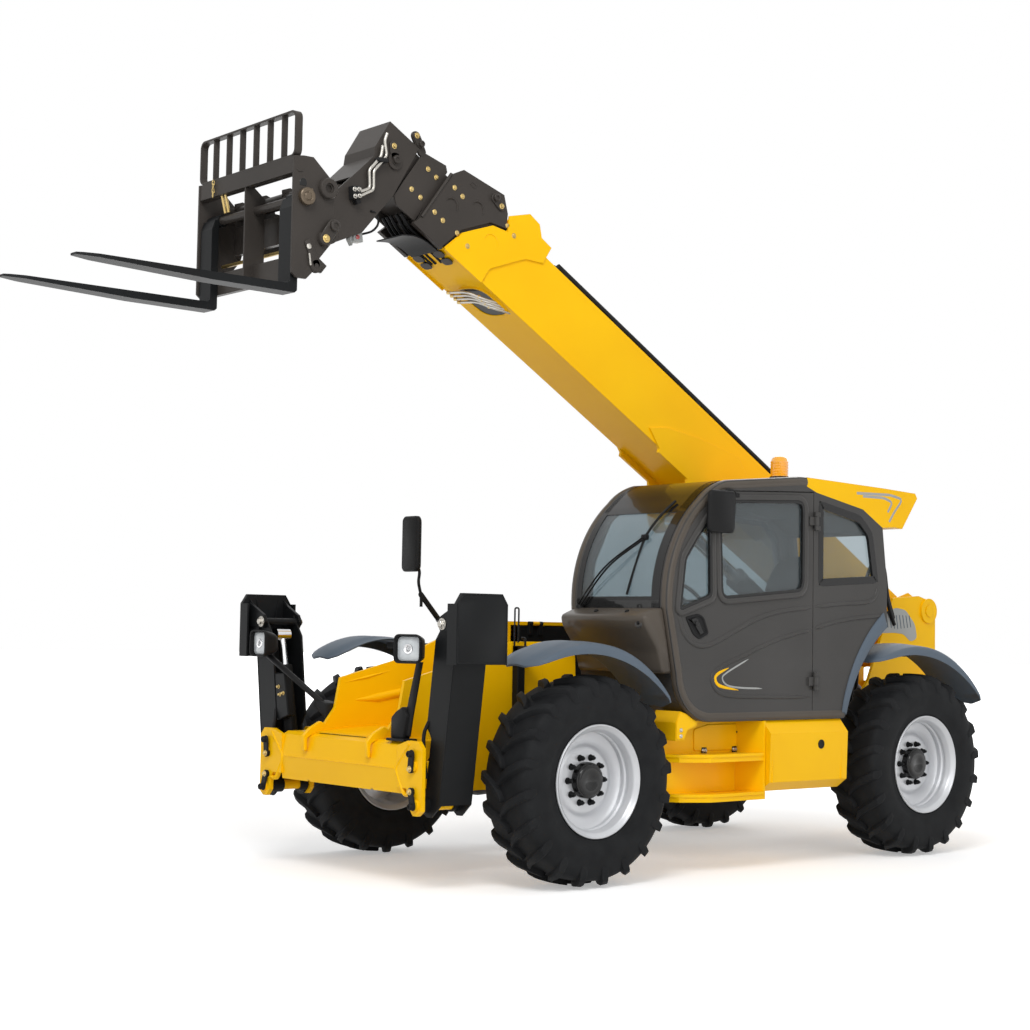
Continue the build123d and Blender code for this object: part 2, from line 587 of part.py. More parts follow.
# ---- fork carriage --------------------------------------------------------------------------------------
carriage_inner = carriage_half_width - carriage_plate
side_outline = [
    (carriage_front_x, 4148), (3253, 4158), (3191, 4159), (3078, 4060), (3046, 3947), (3038, 3851),
    (3017, 3805), (3025, 3723), (3137, 3586), (3085, 3550), (3121, 3505), (3169, 3515), (3224, 3458),
    (3290, 3458), (carriage_front_x, 3484),
]
bar_low = 4055
with BuildPart() as carriage_frame:
    for turn in (-1, 1):
        plate(side, side_outline, *sorted((turn * carriage_inner, turn * carriage_half_width)))
        for x, z, radius in ((hook_tube_x, hook_tube_z, hook_tube_radius + 8), (shaft_x, shaft_z, 38),
                             (lock_x, lock_z, 34)):
            disc(side, (x, z), radius, *sorted((turn * carriage_inner, turn * (carriage_half_width + 18))))
    # upper bar, centre web and lower back plate
    plate(side, [(3258, bar_low), (3318, bar_low), (3318, 4148), (3306, 4148), (3306, bar_low + 12),
                 (3258, bar_low + 12)], -carriage_half_width, carriage_half_width)
    plate(side, [(3180, 3470), (3316, 3470), (3316, bar_low + 6), (3258, bar_low + 6), (3180, 4000)], -6, 6)
    plate(side, [(3226, 3470), (3260, 3470), (3260, 3600), (3226, 3600)], -carriage_half_width, carriage_half_width)
    disc(side, (hook_tube_x, hook_tube_z), hook_tube_radius, -carriage_half_width, carriage_half_width)
    disc(side, (shaft_x, shaft_z), shaft_radius, -carriage_half_width, carriage_half_width)
    disc(side, (hook_tube_x, hook_tube_z), hook_bore_radius, -600, 600, Mode.SUBTRACT)
write(carriage_frame.part, "carriage_frame", dark)

guard_bars = 6
guard_half = carriage_half_width - 1
with BuildPart() as load_guard:
    with BuildSketch(front(3270)) as frame_face:
        with Locations((0, (4148 + seat_gap + guard_top) / 2)):
            RectangleRounded(2 * guard_half, guard_top - 4148 - seat_gap, 45)
            RectangleRounded(2 * (guard_half - guard_bar), guard_top - 4148 - seat_gap - 2 * guard_bar, 34,
                             mode=Mode.SUBTRACT)
    extrude(frame_face.sketch, amount=46)
    for index in range(guard_bars):
        y = (index - (guard_bars - 1) / 2) * 2 * guard_half / (guard_bars + 1)
        block((3275, 3311), (y - guard_bar / 2, y + guard_bar / 2), (4150, guard_top - 2))
write(load_guard.part, "load_guard", dark)

# ---- forks -----------------------------------------------------------------------------------------------
shank_back = shaft_x + 25
shank_front = shank_back + fork_thickness
fork_outline = [
    (shank_back, shaft_z), (shank_back, fork_top - fork_thickness + 14), (shank_back + 14, fork_top - fork_thickness),
    (shank_front + 500, fork_top - fork_thickness + 4), (fork_tip_x, fork_top - 14), (fork_tip_x, fork_top - 2),
    (fork_tip_x - 40, fork_top), (shank_front + 16, fork_top), (shank_front, fork_top + 16),
    (shank_front, shaft_z - 60), (shank_front - 20, shaft_z),
]
for name, turn in (("fork_left", 1), ("fork_right", -1)):
    y_low = turn * fork_y - fork_width / 2
    with BuildPart() as fork:
        plate(side, fork_outline, y_low, y_low + fork_width)
        disc(side, (shaft_x, shaft_z), shaft_radius + 12, y_low, y_low + fork_width)
        disc(side, (shaft_x, shaft_z), shaft_radius + pin_gap, y_low - 1, y_low + fork_width + 1, Mode.SUBTRACT)
        # tip narrows in plan
        for edge in (-1, 1):
            corner = [(fork_tip_x + 1, turn * fork_y + edge * 30), (fork_tip_x + 1, turn * fork_y + edge * 90),
                      (fork_tip_x - 120, turn * fork_y + edge * 90),
                      (fork_tip_x - 120, turn * fork_y + edge * (fork_width / 2 + 0.1))]
            extrude(outline(level(fork_top - 200), corner), amount=400, mode=Mode.SUBTRACT)
    write(fork.part, name, dark)

# ---- stabilisers ---------------------------------------------------------------------------------------
lean = radians(leg_lean)


def leg_plane(turn, x):
    """Upright plane across X at a leg: local x outwards square to the leg, local y up along it."""
    along = Vector(0, turn * sin(lean), cos(lean))
    outwards = Vector(0, turn * cos(lean), -sin(lean))
    return Plane(origin=(datum_x + x, turn * leg_pin_y, leg_pin_z), x_dir=outwards, z_dir=outwards.cross(along))


def leg_slab(turn, points, x_low, x_high, mode=Mode.ADD):
    """Plate of an outline given square to and along the leg, between two X planes."""
    face = outline(leg_plane(turn, (x_low + x_high) / 2), points)
    extrude(face, amount=(x_high - x_low) / 2, both=True, mode=mode)


def leg_point(turn, outwards, along):
    """Y and Z of a point given square to and along the leg."""
    return (turn * (leg_pin_y + outwards * cos(lean) + along * sin(lean)),
            leg_pin_z - outwards * sin(lean) + along * cos(lean))


leg_in, leg_out = -60, leg_width - 60
leg_side = [(-10, -50), (20, -66), (60, -60), (leg_out, 20), (leg_out, leg_length), (20, leg_length + 20),
            (leg_in, leg_length - 120), (leg_in, 440), (-10, 380)]
ram_far = 955                # cylinder's eye along the leg
pad_offset = 20              # pad's pin, square to the leg
for name, turn in (("left", 1), ("right", -1)):
    with BuildPart() as leg:
        for x in (leg_rear, leg_front - leg_wall):
            leg_slab(turn, leg_side, x, x + leg_wall)
        leg_slab(turn, [(leg_out - leg_wall, 20), (leg_out, 20), (leg_out, leg_length - 60),
                        (leg_out - leg_wall, leg_length - 60)], leg_rear, leg_front)
        y, z = leg_point(turn, 0, 0)
        bar((leg_rear, y, z), (leg_front + leg_boss_reach, y, z), 46)
        block((leg_rear + leg_wall + 40, leg_front - leg_wall - 40), sorted((y - 60, y + 60)), (z - 60, z + 60),
              Mode.SUBTRACT)
        bar((leg_rear - 1, y, z), (beam_front_x, y, z), 32 + pin_gap, Mode.SUBTRACT)
        y, z = leg_point(turn, pad_offset, leg_length - 20)
        bar((leg_rear - 30, y, z), (leg_front + 30, y, z), 24)
    write(leg.part, f"stabiliser_leg_{name}", dark)

    foot_y, foot_z = turn * foot_pin_y, foot_pin_z
    eye_y, eye_z = leg_point(turn, 10, ram_far)
    ram(f"stabiliser_{name}", (leg_x, foot_y, foot_z), (leg_x, eye_y, eye_z), 48, 30, 540, (50, 60), (42, 50),
        28 + pin_gap, front)

    pin_y, pin_z = leg_point(turn, pad_offset, leg_length - 20)
    with BuildPart() as pad:
        sole_in = pin_y + turn * 160
        sole_out = sole_in + turn * 26
        pad_low, pad_top = pin_z - 225, pin_z - 225 + pad_height
        half = pad_length / 2
        sole = [(leg_x - half, pad_low), (leg_x + half, pad_low), (leg_x + half, pad_top - 60),
                (leg_x + half - 40, pad_top), (leg_x - half + 40, pad_top), (leg_x - half, pad_top - 60)]
        plate(side, sole, *sorted((sole_in, sole_out)))
        # flanges along both ends of the sole
        for x in (leg_x - half, leg_x + half - 14):
            block((x, x + 14), sorted((sole_in - turn * 60, sole_out)), (pad_low, pad_top - 60))
        ear = [(sole_in, pin_z - 30), (sole_in, pin_z + 130), (pin_y - turn * 20, pin_z + 44),
               (pin_y - turn * 44, pin_z), (pin_y - turn * 20, pin_z - 40)]
        for x in (leg_rear - side_gap - 20, leg_front + side_gap):
            extrude(outline(front(x), ear), amount=20)
        bar((leg_rear - 40, pin_y, pin_z), (leg_front + 40, pin_y, pin_z), 24 + pin_gap, Mode.SUBTRACT)
    write(pad.part, f"stabiliser_pad_{name}", dark)

# ---- cab ------------------------------------------------------------------------------------------------
cab_front_arc = [(950, 1640), (895, 2010), (650, 2340)]          # windscreen line: low end, middle, high end
cab_brow = [(650, 2340), (555, 2415), (430, 2465)]
roof_joint_x = -330                                              # the yellow roof starts here
cab_rear = [(-275, 2533), (roof_joint_x, 2533), (roof_joint_x, 2475), (-430, 2440), (-900, 2355),
            (-1110, 2240), (-1160, 1860), (-1160, 1560)]
cab_wheel_arc = [(-1160, 1560), (-905, 1320), (-735, 975)]       # round the rear wheel
cab_sill_arc = [(560, 955), (782, 1055), (860, 1240)]            # from the floor up to the front


def cab_section(plane, inset):
    """Side view of the cab, drawn in by an inset all round."""
    with BuildSketch(plane) as face:
        with BuildLine():
            ThreePointArc(*cab_front_arc)
            ThreePointArc(*cab_brow)
            Polyline(cab_brow[2], *cab_rear)
            ThreePointArc(*cab_wheel_arc)
            Polyline(cab_wheel_arc[2], (-715, 955), cab_sill_arc[0])
            ThreePointArc(*cab_sill_arc)
            Line(cab_sill_arc[2], cab_front_arc[0])
        make_face()
        if inset:
            offset(amount=-inset, kind=Kind.TANGENT)
    return face.sketch


hinge_x, hinge_y = -408, cab_outer_y + 18
hinge_pin_radius = 8
door_hinge_z = (1200, 2250)
door_window = [(500, 2335), (-300, 2375), (-300, 1790), (470, 1722)]
quarter_window = [(560, 1735), (840, 1640), (800, 1960), (700, 2090), (575, 2235)]
rear_side_window = [(-455, 2388), (-880, 2308), (-1000, 2200), (-1062, 1870), (-455, 1830)]
right_window = [(-1040, 1870), (-980, 2180), (-860, 2300), (440, 2390), (640, 2240), (790, 1960), (820, 1640),
                (-1000, 1640)]


def door_leaf(plane, growth):
    """Side view of the door, grown all round: bowed front edge from the sill up to the roof."""
    with BuildSketch(plane) as face:
        with BuildLine():
            Line((-395, 985), (540, 985))
            ThreePointArc((540, 985), (758, 1078), (838, 1240))
            Line((838, 1240), (930, 1640))
            ThreePointArc((930, 1640), (872, 2000), (620, 2325))
            Polyline((620, 2325), (500, 2395), (-395, 2438), (-395, 985))
        make_face()
        if growth:
            offset(amount=growth, kind=Kind.INTERSECTION)
    return face.sketch


def cab_front(z):
    """X of what rests on the cab's front below the windscreen, at a height."""
    (low_x, low_z), (high_x, high_z) = cab_sill_arc[2], cab_front_arc[0]
    return low_x + (z - low_z) * (high_x - low_x) / (high_z - low_z) + seat_gap


def grown(plane, points, amount):
    """Outline moved outwards, or inwards if the amount is negative."""
    with BuildSketch(plane) as face:
        with BuildLine():
            Polyline(*points, close=True)
        make_face()
        offset(amount=amount, kind=Kind.INTERSECTION)
    return face.sketch


with BuildPart() as cab_shell:
    extrude(cab_section(side(cab_outer_y), 0), amount=cab_outer_y - cab_inner_y)
    extrude(cab_section(side(cab_outer_y - cab_wall), cab_wall), amount=cab_outer_y - cab_inner_y - 2 * cab_wall,
            mode=Mode.SUBTRACT)
    # door opening and windows
    extrude(door_leaf(side(cab_outer_y + 1), side_gap), amount=cab_wall + 2, mode=Mode.SUBTRACT)
    extrude(outline(side(cab_outer_y + 1), rear_side_window), amount=cab_wall + 2, mode=Mode.SUBTRACT)
    extrude(outline(side(cab_inner_y + cab_wall + 1), right_window), amount=cab_wall + 2, mode=Mode.SUBTRACT)
    screen = [(1100, 1680), (1100, 2300), (420, 2600), (420, 2400), (700, 2150), (850, 1680)]
    plate(side, screen, cab_inner_y + 60, cab_outer_y - 60, Mode.SUBTRACT)
    rear_hole = [(-1300, 1900), (-1300, 2190), (-1050, 2190), (-1050, 1900)]
    plate(side, rear_hole, cab_inner_y + 90, cab_outer_y - 90, Mode.SUBTRACT)
    for z in door_hinge_z:
        for z_low in (z - 60, z + 30):
            block((hinge_x - 50, hinge_x), (cab_outer_y - 10, cab_outer_y + 10), (z_low, z_low + 30))
            bar((hinge_x, hinge_y, z_low), (hinge_x, hinge_y, z_low + 30), hinge_pin_radius + 8)
        bar((hinge_x, hinge_y, z - 60), (hinge_x, hinge_y, z + 60), hinge_pin_radius)
write(cab_shell.part, "cab_shell", dark)

with BuildPart() as cab_glass:
    # windscreen: a bent pane that follows the front
    with BuildSketch(side(cab_outer_y - 60 - seat_gap)) as face:
        with BuildLine():
            ThreePointArc(*cab_front_arc)
            Line(cab_front_arc[2], (635, 2326))
            ThreePointArc((635, 2326), (876, 2000), (930, 1640))
            Line((930, 1640), cab_front_arc[0])
        make_face()
    extrude(face.sketch, amount=cab_outer_y - cab_inner_y - 120 - 2 * seat_gap)
    plate(side, [(1100, 1500), (1100, 1680 + seat_gap), (800, 1680 + seat_gap), (800, 1500)], 0, 1200, Mode.SUBTRACT)
    for points, y in ((rear_side_window, cab_outer_y - 20), (right_window, cab_inner_y + 20)):
        extrude(grown(side(y), points, -seat_gap), amount=glass)
write(cab_glass.part, "cab_glass", Color(0.5, 0.6, 0.62, 0.4))

with BuildPart() as cab_roof:
    roof = [(roof_joint_x - seat_gap, 2536), (roof_joint_x - seat_gap, 2475 + seat_gap), (-430, 2440 + seat_gap),
            (-900, 2355 + seat_gap), (-1110, 2240 + seat_gap), (-1235, 2250), (-1322, 2243), (-1485, 2462),
            (-1463, 2496), (-1103, 2512)]
    plate(side, roof, cab_inner_y + 20, cab_outer_y)
write(cab_roof.part, "cab_roof", yellow)

with BuildPart() as cab_interior:
    seat_base = [(-650, 1080), (-650, 1330), (-120, 1330), (-120, 1080)]
    plate(side, seat_base, 480, 900)
    cushion = [(-690, 1330), (-700, 1440), (-120, 1440), (-90, 1400), (-100, 1330)]
    plate(side, cushion, 450, 930)
    backrest = [(-700, 1440), (-590, 1440), (-690, 2050), (-780, 2080), (-810, 2040)]
    plate(side, backrest, 450, 930)
    floor = [(560, 1000), (560, 1080), (-690, 1080), (-560, 1000)]
    plate(side, floor, cab_inner_y + cab_wall + seat_gap, cab_outer_y - cab_wall - seat_gap)
    console = [(560, 1080), (740, 1180), (820, 1560), (800, 1630), (560, 1640), (520, 1500), (430, 1080)]
    plate(side, console, 420, 960)
    bar((600, 690, 1480), (380, 690, 1700), 28)
    with BuildSketch(Plane(origin=(datum_x + 380, 690, 1700), z_dir=(-1, 0, 1))) as face:
        Circle(190)
        Circle(165, mode=Mode.SUBTRACT)
        Rectangle(350, 40)
    extrude(face.sketch, amount=26)
write(cab_interior.part, "cab_interior", dark)

with BuildPart() as door_shell:
    extrude(door_leaf(side(cab_outer_y), 0), amount=door_thickness)
    for window in (door_window, quarter_window):
        extrude(outline(side(cab_outer_y + 1), window), amount=door_thickness + 2, mode=Mode.SUBTRACT)
    for z in door_hinge_z:
        bar((hinge_x, hinge_y, z - 28), (hinge_x, hinge_y, z + 28), hinge_pin_radius + 8)
        block((hinge_x, hinge_x + 60), (cab_outer_y + 2, cab_outer_y + 14), (z - 28, z + 28))
        block((hinge_x + 20, hinge_x + 60), (cab_outer_y - 4, cab_outer_y + 2), (z - 28, z + 28))
        bar((hinge_x, hinge_y, z - 60), (hinge_x, hinge_y, z + 60), hinge_pin_radius + pin_gap, Mode.SUBTRACT)
write(door_shell.part, "door_shell", dark)

with BuildPart() as door_glass:
    for window in (door_window, quarter_window):
        extrude(grown(side(cab_outer_y - 12), window, -seat_gap), amount=glass)
write(door_glass.part, "door_glass", Color(0.5, 0.6, 0.62, 0.4))

with BuildPart() as front_cowl:
    cowl = [(970, 1665), (1128, 1601), (1110, 1538), (1000, 1392), (962, 1250), (cab_front(1250), 1250),
            (cab_front(1640), 1640)]
    plate(side, cowl, 345, 1120)
write(front_cowl.part, "front_cowl", dark)

# ---- left side: step unit and side box -------------------------------------------------------------
step_wall_y = 960            # outer face of the wall behind the steps
step_out_y = 1150
step_rear_x, step_front_x = 60, 790
with BuildPart() as step_unit:
    block((step_rear_x, step_front_x), (900, step_wall_y), (455, 950))
    tread = [(step_rear_x, 950), (step_rear_x, step_out_y), (560, step_out_y), (735, 1050), (step_front_x, 950)]
    for z in (455, 700):
        extrude(outline(level(z), tread), amount=45)
    flange = [(step_rear_x, 950), (step_rear_x, step_out_y), (step_rear_x + 15, step_out_y), (145, 950)]
    extrude(outline(level(455), flange), amount=495)
    # hooded bracket at the front, and the arm that holds the wall
    hood = [(830, 950), (795, 1020), (740, 1005), (680, 970), (640, 953), (650, 925), (730, 900), (755, 840),
            (830, 840)]
    plate(side, hood, 900, 1110)
    plate(side, [(500, 930), (300, 930), (300, 700), (500, 700)], rail_outer + seat_gap, 900)
write(step_unit.part, "step_unit", yellow)

with BuildPart() as side_box:
    box_section = [(rail_outer + seat_gap, 520), (1100, 500), (1180, 560), (1190, 870), (1120, 952), (rail_outer + seat_gap, 952)]
    extrude(outline(front(-700), box_section), amount=755)
write(side_box.part, "side_box", yellow)

# ---- right side: engine bay, engine, hood -----------------------------------------------------------
hood_rear, hood_front = -760, 890
bay_front = 800
hood_low = 1000
hood_top = 1560
hood_skin = 25
hood_hinge_y, hood_hinge_z = -418, 1548
hood_hinge_x = (-440, 660)
bay_inner_y = -430           # face of the bay's inner wall
with BuildPart() as engine_bay:
    block((hood_rear, bay_front), (-1120, -rail_outer - seat_gap), (520, 540))
    block((hood_rear, bay_front), (-1120, -1100), (540, hood_low - seat_gap))
    for x in (hood_rear, bay_front - 20):
        block((x, x + 20), (-1100, -rail_outer - seat_gap), (540, hood_low - seat_gap))
    # inner wall, up to the hood, with the hood's hinges
    block((hood_rear + hood_skin + side_gap, bay_front), (bay_inner_y - 20, bay_inner_y),
          (540, hood_top - hood_skin - side_gap))
    for x in hood_hinge_x:
        for x_low in (x - 60, x + 30):
            block((x_low, x_low + 30), (bay_inner_y - 1, hood_hinge_y + 8), (1470, hood_hinge_z))
            bar((x_low, hood_hinge_y, hood_hinge_z), (x_low + 30, hood_hinge_y, hood_hinge_z), 14)
        bar((x - 60, hood_hinge_y, hood_hinge_z), (x + 60, hood_hinge_y, hood_hinge_z), 7)
write(engine_bay.part, "engine_bay", dark)

with BuildPart() as engine_block:
    block((-600, 700), (-900, -460), (540 + seat_gap, 1380))
write(engine_block.part, "engine_block", dark)

hood_edge_y = hood_hinge_y - 20
hood_outer = [(-1150, hood_low), (-1150, 1380), (-1080, 1520), (-980, hood_top), (hood_edge_y, hood_top),
              (hood_edge_y, hood_low)]
hood_inner = [(-1125, hood_low - 1), (-1125, 1372), (-1062, 1498), (-972, hood_top - hood_skin),
              (hood_edge_y + 1, hood_top - hood_skin), (hood_edge_y + 1, hood_low - 1)]
with BuildPart() as engine_hood:
    extrude(outline(front(hood_rear), hood_outer), amount=hood_front - hood_rear)
    extrude(outline(front(hood_rear + hood_skin), hood_inner), amount=hood_front - hood_rear - 2 * hood_skin,
            mode=Mode.SUBTRACT)
    for x in hood_hinge_x:
        bar((x - 28, hood_hinge_y, hood_hinge_z), (x + 28, hood_hinge_y, hood_hinge_z), 14)
        block((x - 28, x + 28), (hood_edge_y - 1, hood_hinge_y), (hood_hinge_z, hood_top))
        bar((x - 29, hood_hinge_y, hood_hinge_z), (x + 29, hood_hinge_y, hood_hinge_z), 7 + pin_gap,
            Mode.SUBTRACT)
write(engine_hood.part, "engine_hood", yellow)

# ---- mudguards ------------------------------------------------------------------------------------------
fender_arcs = [  # wheel x, front tip, crown, rear tip: x from the axle and height over the ground
    (half_base, (498, 1297), (-60, 1425), (-627, 1054)),
    (-half_base, (505, 1330), (-40, 1430), (-671, 1035)),
]
fender_wall = 14
fender_lip = 12
with BuildPart() as fenders:
    for x, tip_front, crown, tip_rear in fender_arcs:
        for turn in (-1, 1):
            y_low, y_high = sorted((turn * 800, turn * 1195))
            inner = [(px, pz - fender_wall) for px, pz in (tip_front, crown, tip_rear)]
            with BuildSketch(side(y_high)) as face:
                with BuildLine():
                    ThreePointArc(*[(x + px, pz) for px, pz in (tip_front, crown, tip_rear)])
                    Line((x + tip_rear[0], tip_rear[1]), (x + inner[2][0], inner[2][1]))
                    ThreePointArc(*[(x + px, pz) for px, pz in reversed(inner)])
                    Line((x + inner[0][0], inner[0][1]), (x + tip_front[0], tip_front[1]))
                make_face()
            extrude(face.sketch, amount=y_high - y_low)
            # outer lip, deepest over the axle
            with BuildSketch(side(y_high if turn > 0 else y_low + fender_lip)) as face:
                with BuildLine():
                    ThreePointArc(*[(x + px, pz) for px, pz in (tip_front, crown, tip_rear)])
                    Line((x + tip_rear[0], tip_rear[1]), (x + inner[2][0], inner[2][1]))
                    ThreePointArc((x + inner[2][0], inner[2][1]), (x + crown[0], crown[1] - 62),
                                  (x + inner[0][0], inner[0][1]))
                    Line((x + inner[0][0], inner[0][1]), (x + tip_front[0], tip_front[1]))
                make_face()
            extrude(face.sketch, amount=fender_lip)
            block((x - 90, x - 30), sorted((turn * (rail_outer + seat_gap), turn * 820)), (1360, 1408))
            block((x - 90, x - 30), sorted((turn * (rail_outer + seat_gap), turn * 400)), (780, 1400))
write(fenders.part, "fenders", dark)

# ---- lamps, mirrors, beacon, rear weight ---------------------------------------------------------------
with BuildPart() as work_lamps:
    for turn in (-1, 1):
        lamp_y = 715 * turn if turn > 0 else -780
        block((2520, 2650), (lamp_y - 90, lamp_y + 90), (1300, 1470))
        if turn > 0:
            bar((2480, 600, 850 + seat_gap), (2480, 600, 960), 24)
            bar((2480, 600, 940), (2590, lamp_y, 1310), 16)
        else:
            bar((2380, -rail_outer - seat_gap, 960), (2380, -rail_outer - 30, 960), 24)
            bar((2380, -rail_outer - 20, 960), (2590, lamp_y, 1310), 16)
write(work_lamps.part, "work_lamps", dark)

with BuildPart() as mirrors:
    block((1190, 1240), (-1200, -1010), (1890, 2280))
    bar((1171, -1040, 1717), (1200, -1040, 1900), 12)
    bar((1027, -1040, 1562), (1171, -1040, 1722), 14)
    block((1300, 1360), (-rail_outer - 20, -rail_outer - seat_gap), (1370, 1424))
    bar((1330, -rail_outer - 14, 1400), (1027, -1040, 1562), 14)
write(mirrors.part, "mirrors", dark)

# the left mirror hangs on the door's frame, folded along it
with BuildPart() as door_mirror:
    plate(side, [(410, 2130), (640, 2130), (650, 2180), (640, 2400), (410, 2400), (400, 2350)], 1164, 1203)
    block((330, 380), (cab_outer_y + seat_gap, cab_outer_y + 18), (2362, 2392))
    bar((355, cab_outer_y + 10, 2377), (470, 1172, 2385), 7)
write(door_mirror.part, "door_mirror", dark)

with BuildPart() as beacon:
    bar((-550, 700, 2531.8), (-550, 700, 2572), 75)
    bar((-550, 700, 2570), (-550, 700, 2720), 62)
write(beacon.part, "beacon", Color(1.0, 0.6, 0.05))

weight_top = 1150            # under the boom's corner when it is lowest
with BuildPart() as rear_weight:
    block((-2702, -2310), (-rail_inner + seat_gap, rail_inner - seat_gap), (620, 880))
    for turn in (-1, 1):
        block((-2702, -2450), sorted((turn * (rail_outer + seat_gap), turn * 470)), (640, weight_top))
    block((rear_plate_x, -2700 - seat_gap), (-470, 470), (620, weight_top))
    for z_low, z_high in ((640, 670), (760, 790)):
        block((rear_plate_x - jaw_depth, tail_x), (-60, 60), (z_low, z_high))
    with Locations((datum_x + rear_plate_x - 41, 0, 715)):
        Cylinder(16, 200, mode=Mode.SUBTRACT)
write(rear_weight.part, "rear_weight", yellow)
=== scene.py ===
"""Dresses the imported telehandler: finishes on the solids, and the fine pieces that they leave out.

The scene is in metres in the solids' own frame: +X forward, +Y to the driver's left, +Z up, the
ground at Z = 0. An x measured from the middle between the axles is moved by AXLE_MIDDLE.
"""
import json

import bmesh
import bpy
import numpy as np
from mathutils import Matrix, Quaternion, Vector


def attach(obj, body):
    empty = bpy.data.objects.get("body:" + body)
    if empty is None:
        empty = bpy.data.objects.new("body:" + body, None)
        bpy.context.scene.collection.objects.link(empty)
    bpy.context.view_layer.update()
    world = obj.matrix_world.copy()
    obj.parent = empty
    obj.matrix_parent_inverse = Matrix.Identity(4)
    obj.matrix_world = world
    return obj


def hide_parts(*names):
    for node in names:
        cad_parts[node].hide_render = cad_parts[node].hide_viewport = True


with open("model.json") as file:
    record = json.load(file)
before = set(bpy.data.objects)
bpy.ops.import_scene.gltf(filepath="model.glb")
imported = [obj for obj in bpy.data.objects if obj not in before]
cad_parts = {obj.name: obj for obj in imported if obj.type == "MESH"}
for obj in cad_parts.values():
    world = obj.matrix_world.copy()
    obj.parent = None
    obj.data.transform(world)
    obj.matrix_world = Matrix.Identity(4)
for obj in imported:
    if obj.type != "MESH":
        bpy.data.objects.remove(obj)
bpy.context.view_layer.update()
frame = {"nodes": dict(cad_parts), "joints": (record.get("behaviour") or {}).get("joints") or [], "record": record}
nodes = frame["nodes"]
JOINT = {joint["name"]: joint for joint in frame["joints"]}
BOOM_PIVOT = JOINT["boom_lift"]["pos_m"][0], JOINT["boom_lift"]["pos_m"][2]
BOOM_LIFT = np.arctan2(JOINT["boom_extend"]["axis"][2], JOINT["boom_extend"]["axis"][0])

AXLE_MIDDLE = -0.891         # X of the point midway between the axles
TAU = 2 * np.pi
EDGE_RADIUS = 0.005          # edges of painted and moulded surfaces look rounded by this
PEEL_SCALE, PEEL_DEPTH = 240, 0.002
LEFTWARDS, UPWARDS, FORWARDS = (0, 1, 0), (0, 0, 1), (1, 0, 0)


# ---- finishes ------------------------------------------------------------------------------------
def principled(name, color, roughness, metallic=0.0, coat=0.0):
    """A plain surface shader and its node tree, ready for a pattern to be linked in."""
    material = bpy.data.materials.new(name)
    material.use_nodes = True
    shader = material.node_tree.nodes["Principled BSDF"]
    specular = 0.5 if metallic or roughness < 0.2 else 0.13
    for socket, value in (("Base Color", (*color, 1)), ("Roughness", roughness), ("Metallic", metallic),
                          ("Coat Weight", coat), ("Specular IOR Level", specular)):
        shader.inputs[socket].default_value = value
    return material, material.node_tree, shader


def object_noise(tree, scale, detail=3.0):
    """Noise read at Object coordinates, so that it stays with the piece."""
    place = tree.nodes.new("ShaderNodeTexCoord")
    noise = tree.nodes.new("ShaderNodeTexNoise")
    noise.inputs["Scale"].default_value = scale
    noise.inputs["Detail"].default_value = detail
    tree.links.new(place.outputs["Object"], noise.inputs["Vector"])
    return noise


def grain(tree, shader, scale, strength, distance):
    """Fine bumps over the surface, whose edges catch the light as if they were eased."""
    noise = object_noise(tree, scale, 6.0)
    bump = tree.nodes.new("ShaderNodeBump")
    bump.inputs["Strength"].default_value = strength
    bump.inputs["Distance"].default_value = distance
    edge = tree.nodes.new("ShaderNodeBevel")
    edge.samples = 4
    edge.inputs["Radius"].default_value = EDGE_RADIUS
    tree.links.new(edge.outputs["Normal"], bump.inputs["Normal"])
    tree.links.new(noise.outputs["Fac"], bump.inputs["Height"])
    tree.links.new(bump.outputs["Normal"], shader.inputs["Normal"])


def worn_finish(name, color, shade, roughness, metallic=0.0, coat=0.0, patch=1.6, peel=0.05):
    """Paint, plastic or metal whose tone drifts a little over the piece, with a faint orange peel."""
    material, tree, shader = principled(name, color, roughness, metallic, coat)
    drift = object_noise(tree, patch)
    ramp = tree.nodes.new("ShaderNodeValToRGB")
    for stop, place, tone in zip(ramp.color_ramp.elements, (0.35, 0.7), (shade, color)):
        stop.position = place
        stop.color = (*tone, 1)
    tree.links.new(drift.outputs["Fac"], ramp.inputs["Fac"])
    tree.links.new(ramp.outputs["Color"], shader.inputs["Base Color"])
    if peel:
        grain(tree, shader, PEEL_SCALE, peel, PEEL_DEPTH)
    return material


def clear_glazing(name, tint, strength):
    """Thin tinted pane: mostly see-through, with a clear reflection."""
    material, tree, shader = principled(name, tint, 0.03)
    shader.inputs["Transmission Weight"].default_value = strength
    shader.inputs["IOR"].default_value = 1.45
    return material


